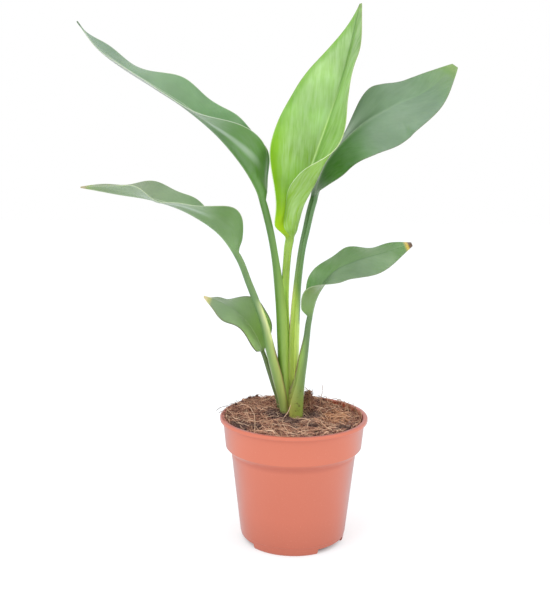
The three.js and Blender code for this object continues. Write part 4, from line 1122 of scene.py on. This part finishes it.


# %% [markdown]
# ## Finish: blades
#
# A leaf is a deeper green at its base and greyer towards its tip, and its underside is paler. Part of the
# grey across the middle of some blades is painted sheen. So each side's colour is a row of stops along the
# blade, from 0 at its base to 1 at its tip. Over that lie the veins, and then flushes: soft patches by the
# midrib or a margin that are deeper or brighter and shine less. The brightest flushes, on the young leaf,
# are painted light over the shade of its wrapped half. Painted sheen strips on the underside come next: the
# pale ones are painted highlights along a fold. Last come the midrib, the margin and the tip.

# %% Flushes, painted light and painted sheen strips


def add_flushes_and_painted_light(tree, blade, top_side, flushes_and_painted_light):
    """The blade with its flushes, and the mask of each. Some bright flushes are painted light over a shaded
    fold.

    Each flush: its side, its reach in mm from the margin, or from the midrib if it is below zero,
    its first and last share of the blade, its strength and its colour.
    """
    share, from_rib, to_edge = (measure(tree, key) for key in ("share", "rib_mm", "edge_mm"))
    masks = []
    for side, reach, low, high, strength, *tint in flushes_and_painted_light:
        half = ramp(tree, times(tree, from_rib, float(side)), 0.5, 3.0)
        away = sums(tree, "ABSOLUTE", from_rib) if reach < 0 else to_edge
        fade = ramp(tree, away, 0.2 * abs(reach), abs(reach), strength, 0.0)
        masks.append(times(tree, half, band(tree, share, low, high, 0.12), fade, top_side))
        blade = mix(tree, masks[-1], blade, paint(*tint))
    return blade, masks


def add_sheen_strips(tree, blade, top_side, sheen_strips):
    """The blade with painted strips on its underside: pale ones are painted highlights along the fold.

    Each strip: its middle and half width in mm from the midrib, its first and last mm along the
    blade, its strength and its colour.
    """
    from_rib, along = measure(tree, "rib_mm"), measure(tree, "along_mm")
    for middle, width, low, high, strength, *tint in sheen_strips:
        across = band(tree, from_rib, middle - width, middle + width, 1.6)
        under = ramp(tree, top_side, 0.0, 1.0, strength, 0.0)
        mask = times(tree, across, band(tree, along, low, high, 14.0), under)
        blade = mix(tree, mask, blade, paint(*tint))
    return blade


# %% One leaf's finish
LEAF_ROUGHNESS = 0.4


def leaf_finish(name, left, right, under, veins, rib, margin, tip, tip_length, stem, slant=2.0, fine=0.1,
                broad=0.12, rib_width=0.9, rib_strength=0.6, margin_width=0.6, margin_strength=0.6,
                flushes_and_painted_light=(), sheen_strips=(), mottle=(0.91, 1.06), glow=0.2, shine=0.5):
    """Builds the finish of one leaf and puts it on.

    left, right and under are the stops of the two halves of the upper side and of the underside, and
    rib and margin those of the midrib and the margin. stem is what stem_colour needs.
    """
    piece = leaves[name]
    material, tree, shader = new_finish("leaf_" + name + "_skin", LEAF_ROUGHNESS)
    lengths = np.empty(len(piece.data.vertices), np.float32)
    piece.data.attributes["along_mm"].data.foreach_get("value", lengths)
    vein = use_group(tree, vein_group, slant=slant, narrowing=(1 + slant ** 2) ** -0.5)
    edge = use_group(tree, edge_group, length=float(lengths.max()), tip_length=tip_length,
                     rib_width=rib_width, margin_width=margin_width)
    share, top_side = measure(tree, "share"), ramp(tree, measure(tree, "upper"), 0.4, 0.6)
    halves = ramp(tree, measure(tree, "rib_mm"), -0.8, 0.8)
    top = mix(tree, halves, stops(tree, share, left), stops(tree, share, right))
    blade = mix(tree, top_side, stops(tree, share, under), top)
    blade = mix(tree, times(tree, vein["Fine"], fine), blade, paint(*veins))
    blade = mix(tree, times(tree, vein["Broad"], broad), blade, paint(*veins))
    blade, dull = add_flushes_and_painted_light(tree, blade, top_side, flushes_and_painted_light)
    blade = shaded(tree, blade, vein["Mottle"], *mottle)
    blade = add_sheen_strips(tree, blade, top_side, sheen_strips)
    blade = mix(tree, times(tree, edge["Rib"], rib_strength), blade, stops(tree, share, rib))
    blade = mix(tree, times(tree, edge["Margin"], margin_strength), blade, stops(tree, share, margin))
    blade = mix(tree, ramp(tree, edge["Tip"], 0.05, 0.5), blade, paint(*tip[0]))
    blade = mix(tree, ramp(tree, edge["Tip"], 0.55, 0.85), blade, paint(*tip[1]))
    up_mm = times(tree, wire(tree, "SeparateXYZ", object_place(tree)).outputs["Z"], 1000.0)
    streaks = noise(tree, object_place(tree, (1, 1, 0.06)), 420, 2)
    colour = mix(tree, measure(tree, "blade"), stem_colour(tree, up_mm, streaks, **stem), blade)
    tree.links.new(colour, shader.inputs["Base Color"])
    sheen = ramp(tree, vein["Fine"], 0.0, 1.0, LEAF_ROUGHNESS - 0.05, LEAF_ROUGHNESS + 0.06)
    tree.links.new(sheen, shader.inputs["Roughness"])
    shader.inputs["Specular IOR Level"].default_value = shine
    if dull:
        level = ramp(tree, largest(tree, dull), 0.0, 1.0, shine, 0.1)
        tree.links.new(level, shader.inputs["Specular IOR Level"])
    shader.inputs["Subsurface Weight"].default_value = glow
    shader.inputs["Subsurface Radius"].default_value = (1.0, 1.0, 0.5)
    shader.inputs["Subsurface Scale"].default_value = 0.0015
    on_blade = times(tree, vein["Fine"], measure(tree, "blade"))
    bump(tree, shader, sums(tree, "MULTIPLY_ADD", streaks, 0.5, on_blade), 0.1, 0.0002)
    put_on(material, piece)


# %% The two large leaves at the left
leaf_finish(
    "upper_left", veins=(134, 162, 130), tip=((120, 146, 116), (96, 118, 96)), tip_length=14,
    left=[(0, 92, 140, 74), (0.5, 110, 150, 104), (1, 134, 156, 140)],
    right=[(0, 84, 132, 62), (0.35, 94, 142, 80), (0.6, 120, 152, 114), (1, 138, 158, 144)],
    # The pale grey in the middle of the underside is painted sheen.
    under=[(0, 90, 138, 50), (0.25, 94, 142, 58), (0.42, 112, 146, 98), (0.55, 150, 154, 146),
           (0.7, 156, 160, 152), (1, 120, 140, 118)],
    rib=[(0, 140, 176, 116), (0.5, 186, 200, 176), (1, 196, 208, 186)],
    margin=[(0, 196, 212, 180), (0.5, 206, 214, 196), (1, 186, 196, 176)],
    # A painted highlight along the fold of the underside, with a darker green strip beside the midrib.
    sheen_strips=[(-8.6, 2.2, 34, 84, 0.62, 186, 204, 184), (-2.5, 1.6, 30, 110, 0.35, 96, 124, 92)],
    stem=dict(
        left=[(90, 122, 150, 60), (140, 112, 150, 58), (200, 100, 140, 56), (250, 90, 130, 62),
              (290, 90, 132, 60)],
        right=[(90, 156, 176, 80), (140, 164, 194, 84), (190, 158, 192, 84), (225, 116, 154, 74),
               (290, 100, 142, 80)]))
leaf_finish(
    "lower_left", veins=(140, 164, 132), tip=((140, 162, 96), (172, 160, 120)), tip_length=12,
    margin_strength=0.55,
    left=[(0, 98, 142, 76), (0.5, 118, 148, 106), (1, 142, 160, 130)],
    right=[(0, 104, 150, 76), (0.4, 112, 148, 94), (0.7, 138, 154, 126), (1, 150, 162, 136)],
    under=[(0, 108, 146, 80), (0.3, 110, 145, 86), (0.5, 136, 156, 126), (0.8, 134, 156, 118),
           (1, 130, 156, 96)],
    rib=[(0, 150, 178, 120), (0.5, 186, 198, 170), (1, 190, 200, 170)],
    margin=[(0, 170, 180, 140), (0.35, 196, 206, 180), (1, 186, 198, 166)],
    # A painted highlight along the fold of the underside.
    sheen_strips=[(-10.0, 2.6, 44, 84, 0.6, 180, 196, 180)],
    stem=dict(
        left=[(90, 156, 172, 92), (115, 136, 158, 84), (130, 128, 158, 80), (160, 112, 148, 80),
              (200, 98, 132, 80), (290, 106, 140, 84)],
        right=[(90, 152, 158, 88), (112, 164, 174, 88), (122, 174, 184, 92), (145, 172, 188, 96),
               (165, 176, 194, 112), (182, 206, 214, 160), (191, 184, 198, 140), (199, 116, 146, 90),
               (290, 110, 142, 84)],
        edges=[(1, 104, 158, 0.55, 150, 112, 84), (1, 164, 194, 0.85, 226, 236, 156),
               (-1, 100, 150, 0.2, 150, 160, 110)]))

# %% The small leaf at the left
leaf_finish(
    "small_left", veins=(136, 158, 120), tip=((182, 184, 122), (212, 196, 150)), tip_length=10,
    margin_strength=0.85, margin_width=1.3,
    left=[(0, 156, 198, 84), (0.25, 144, 184, 88), (0.45, 122, 156, 94), (0.7, 120, 146, 106),
          (1, 136, 154, 124)],
    right=[(0, 146, 190, 78), (0.25, 136, 176, 82), (0.45, 116, 148, 88), (0.7, 116, 142, 104),
           (1, 132, 150, 118)],
    under=[(0, 112, 146, 80), (1, 124, 148, 104)],
    rib=[(0, 186, 212, 140), (0.3, 160, 190, 120), (0.5, 116, 146, 98), (1, 124, 144, 110)],
    margin=[(0, 96, 96, 56), (0.4, 84, 74, 52), (0.6, 104, 116, 84), (1, 150, 146, 112)],
    stem=dict(
        left=[(90, 104, 120, 62), (130, 98, 118, 72), (290, 92, 122, 76)],
        right=[(90, 124, 138, 72), (130, 116, 136, 80), (290, 100, 132, 80)]))

# %% The young leaf
leaf_finish(
    "young", veins=(196, 220, 178), tip=((134, 168, 96), (124, 150, 90)), tip_length=10, slant=3.0,
    fine=0.2, broad=0.3, glow=0.5, mottle=(0.9, 1.08), shine=0.35, rib_width=1.15, rib_strength=0.85,
    # The left half's stop at 0.27 is lightened as painted light, where the wrapped right half shades it.
    left=[(0, 176, 222, 40), (0.14, 168, 214, 56), (0.27, 162, 206, 86), (0.36, 139, 180, 72),
          (0.5, 152, 196, 106), (0.7, 152, 192, 110), (0.85, 124, 168, 78), (1, 108, 152, 66)],
    right=[(0, 130, 180, 40), (0.3, 128, 178, 58), (0.6, 124, 170, 72), (0.85, 106, 150, 62),
           (1, 100, 142, 60)],
    under=[(0, 128, 174, 10), (0.12, 128, 172, 12), (0.25, 130, 174, 18), (0.5, 134, 176, 50),
           (1, 136, 176, 70)],
    rib=[(0, 190, 222, 130), (0.3, 206, 232, 160), (0.5, 196, 224, 150), (0.66, 112, 158, 70),
         (1, 104, 146, 72)],
    margin=[(0, 140, 184, 50), (0.1, 170, 204, 110), (0.16, 220, 234, 190), (0.3, 236, 244, 222),
            (0.45, 186, 200, 150), (0.6, 140, 156, 104), (1, 132, 140, 100)],
    # The last two flushes are painted light: they brighten the strip by the midrib at the base, in the
    # shade of the wrapped right half.
    flushes_and_painted_light=[(-1, 15.0, -0.2, 0.44, 0.9, 132, 182, 12), (1, -9.0, 0.1, 0.95, 0.6, 104, 154, 46),
             (-1, 7.0, 0.4, 0.95, 0.55, 116, 168, 50), (-1, -18.0, -0.2, 0.24, 0.9, 178, 224, 26),
             (-1, -28.0, -0.2, 0.12, 0.95, 220, 252, 60)],
    # The stalk is painted lighter from 150 to 206 mm, as painted light where it stands in deep shade
    # between two sheaths.
    stem=dict(
        left=[(90, 176, 210, 90), (150, 200, 234, 110), (206, 204, 236, 122), (222, 158, 190, 84),
              (240, 162, 195, 94), (290, 150, 186, 74)],
        right=[(90, 176, 210, 90), (150, 204, 236, 116), (206, 204, 236, 122), (222, 158, 188, 86),
               (240, 162, 194, 94), (290, 152, 186, 78)]))

# %% The two leaves at the right
leaf_finish(
    "upper_right", veins=(146, 168, 146), tip=((114, 150, 84), (126, 156, 88)), tip_length=13,
    slant=1.6, broad=0.16, rib_width=1.5, rib_strength=0.8, margin_strength=0.55,
    # The grey across the middle of both halves is painted sheen.
    left=[(0, 58, 112, 30), (0.2, 74, 124, 50), (0.36, 104, 142, 98), (0.6, 118, 148, 116),
          (0.8, 108, 142, 102), (1, 116, 150, 90)],
    right=[(0, 60, 118, 28), (0.2, 72, 128, 42), (0.33, 102, 145, 90), (0.45, 124, 152, 122),
           (0.8, 108, 138, 108), (1, 118, 152, 92)],
    under=[(0, 72, 104, 56), (0.25, 78, 112, 68), (0.5, 96, 128, 90), (1, 120, 150, 104)],
    rib=[(0, 96, 138, 74), (0.2, 126, 160, 104), (0.5, 142, 166, 138), (0.75, 116, 148, 112),
         (1, 118, 152, 94)],
    flushes_and_painted_light=[(-1, -12.0, 0.0, 0.5, 0.75, 64, 104, 56), (-1, 12.0, 0.0, 0.5, 0.75, 64, 100, 56),
             (1, -26.0, 0.02, 0.3, 0.5, 80, 132, 50), (1, -7.0, 0.1, 0.45, 0.4, 66, 120, 40)],
    margin=[(0, 96, 106, 80), (0.5, 120, 118, 104), (1, 122, 130, 96)],
    stem=dict(
        # The left stops from 90 to 130 mm are lightened as painted light over the shade between the
        # sheaths.
        left=[(90, 214, 228, 116), (130, 222, 238, 124), (160, 206, 230, 110), (198, 190, 214, 100),
              (212, 128, 158, 84), (235, 108, 140, 90), (290, 96, 132, 84)],
        right=[(90, 176, 196, 84), (130, 200, 220, 100), (160, 204, 230, 112), (190, 170, 204, 92),
               (205, 106, 150, 68), (235, 98, 136, 80), (290, 88, 124, 76)],
        # The pale left edge is the sheath's own pale margin, and also painted light over the shaded gap
        # beside the upper left leaf's sheath.
        edges=[(-1, 96, 208, 0.2, 206, 184, 126), (1, 178, 216, 0.35, 92, 136, 58)]))
leaf_finish(
    "lower_right", veins=(136, 158, 130), tip=((206, 180, 84), (104, 76, 56)), tip_length=8, slant=1.8,
    broad=0.14, rib_strength=0.5,
    left=[(0, 72, 118, 48), (0.25, 88, 138, 58), (0.45, 98, 132, 80), (0.7, 102, 134, 86),
          (1, 98, 144, 72)],
    right=[(0, 78, 120, 58), (0.3, 100, 132, 88), (0.6, 108, 134, 100), (0.85, 106, 138, 90),
           (1, 100, 142, 74)],
    under=[(0, 104, 140, 60), (0.2, 118, 148, 80), (0.4, 148, 166, 124), (1, 124, 150, 104)],
    rib=[(0, 84, 118, 72), (0.3, 84, 112, 80), (0.6, 88, 116, 84), (1, 100, 140, 80)],
    margin=[(0, 186, 196, 166), (0.2, 178, 186, 156), (0.35, 122, 130, 104), (1, 118, 124, 92)],
    stem=dict(
        left=[(90, 184, 180, 92), (110, 172, 172, 84), (130, 144, 166, 80), (152, 150, 186, 84),
              (170, 96, 126, 78), (290, 98, 130, 84)],
        right=[(90, 172, 182, 76), (110, 142, 162, 70), (130, 116, 146, 74), (150, 100, 130, 76),
               (290, 94, 126, 82)],
        edges=[(-1, 100, 166, 0.4, 120, 92, 62)],
        spots=[(92, 124, 0.55, 94, 74, 40)]))

# %% [markdown]
# ## Crown and roots
#
# The crown and roots are hidden in the soil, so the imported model's own solid stays. It still
# gets a finish: pale, fleshy and a little streaked.

# %% Root finish
root_skin, tree, shader = new_finish("root_skin", 0.6)
place = object_place(tree)
bark = noise(tree, place, 160, 3)
tree.links.new(mix(tree, bark, paint(196, 164, 112), paint(150, 112, 72)), shader.inputs["Base Color"])
bump(tree, shader, bark, 0.4, 0.0005)
put_on(root_skin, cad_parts["root_crown"])

# %% [markdown]
# ## Studio
#
# The plant stands on a white floor in soft light from all round, with a larger lamp at the upper
# left. The floor glows faintly, so that it comes out as white as the backdrop, but it doesn't glow
# under the pot, so the notches look in on a dark shadow.

# %% Floor and lights
DARK_WITHIN, FULL_GLOW_AT, FLOOR_GLOW = 0.033, 0.043, 0.46
bpy.ops.object.select_all(action="DESELECT")
bpy.ops.mesh.primitive_plane_add(size=8)
floor = name_piece("studio_floor")
floor_white, tree, shader = new_finish("floor_white", 0.8)
shader.inputs["Base Color"].default_value = (0.58, 0.62, 0.64, 1)
shader.inputs["Specular IOR Level"].default_value = 0.0
shader.inputs["Emission Color"].default_value = (1, 1, 1, 1)
flat = wire(tree, "VectorMath", object_place(tree), (1, 1, 0), operation="MULTIPLY").outputs[0]
from_pot = wire(tree, "VectorMath", flat, operation="LENGTH").outputs["Value"]
floor_glow = ramp(tree, from_pot, DARK_WITHIN, FULL_GLOW_AT, 0.0, FLOOR_GLOW)
tree.links.new(floor_glow, shader.inputs["Emission Strength"])
put_on(floor_white, floor)


def soft_lamp(name, place, size, power, colour=(1, 1, 1)):
    bpy.ops.object.light_add(type="AREA", location=place)
    lamp = bpy.context.object
    lamp.name = name
    lamp.data.size = size
    lamp.data.energy = power
    lamp.data.color = colour
    aim = Vector((0, 0, 0.22)) - Vector(place)
    lamp.rotation_euler = aim.to_track_quat("-Z", "Y").to_euler()
    print(f"{name}: {power} W, {size} m across")


soft_lamp("key_lamp", (-0.7, -0.8, 1.1), 0.7, 5)
soft_lamp("fill_lamp", (0.9, -0.5, 0.7), 0.6, 2, (0.95, 0.98, 1))
world = bpy.data.worlds.new("studio_white")
world.use_nodes = True
world.node_tree.nodes["Background"].inputs["Color"].default_value = (1, 1, 1, 1)
world.node_tree.nodes["Background"].inputs["Strength"].default_value = 1.0
bpy.context.scene.world = world
bpy.context.scene.view_settings.view_transform = "Standard"

# %% [markdown]
# ## Tie the pieces to the frame
#
# The plant has no moving joint, so every piece rides on the one body. Where a piece stands for an imported
# node, that node is hidden.

# %% Ride and replace
for master in (strand, crumb):
    bpy.data.objects.remove(master)
PIECES = [
    (pot, "pot", "pot_plastic"),
    (bed, "soil", "soil"),
    (coir_mat, None, "soil"),
    (peat_crumbs, None, "soil"),
    (loose_strands, None, "soil"),
]
for name, leaf in leaves.items():
    PIECES.append((leaf, "leaf_" + name, "leaf_lime" if name == "young" else "leaf_green"))
for piece, node, slot in PIECES:
    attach(piece, "root")
    if node:
        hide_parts(node)
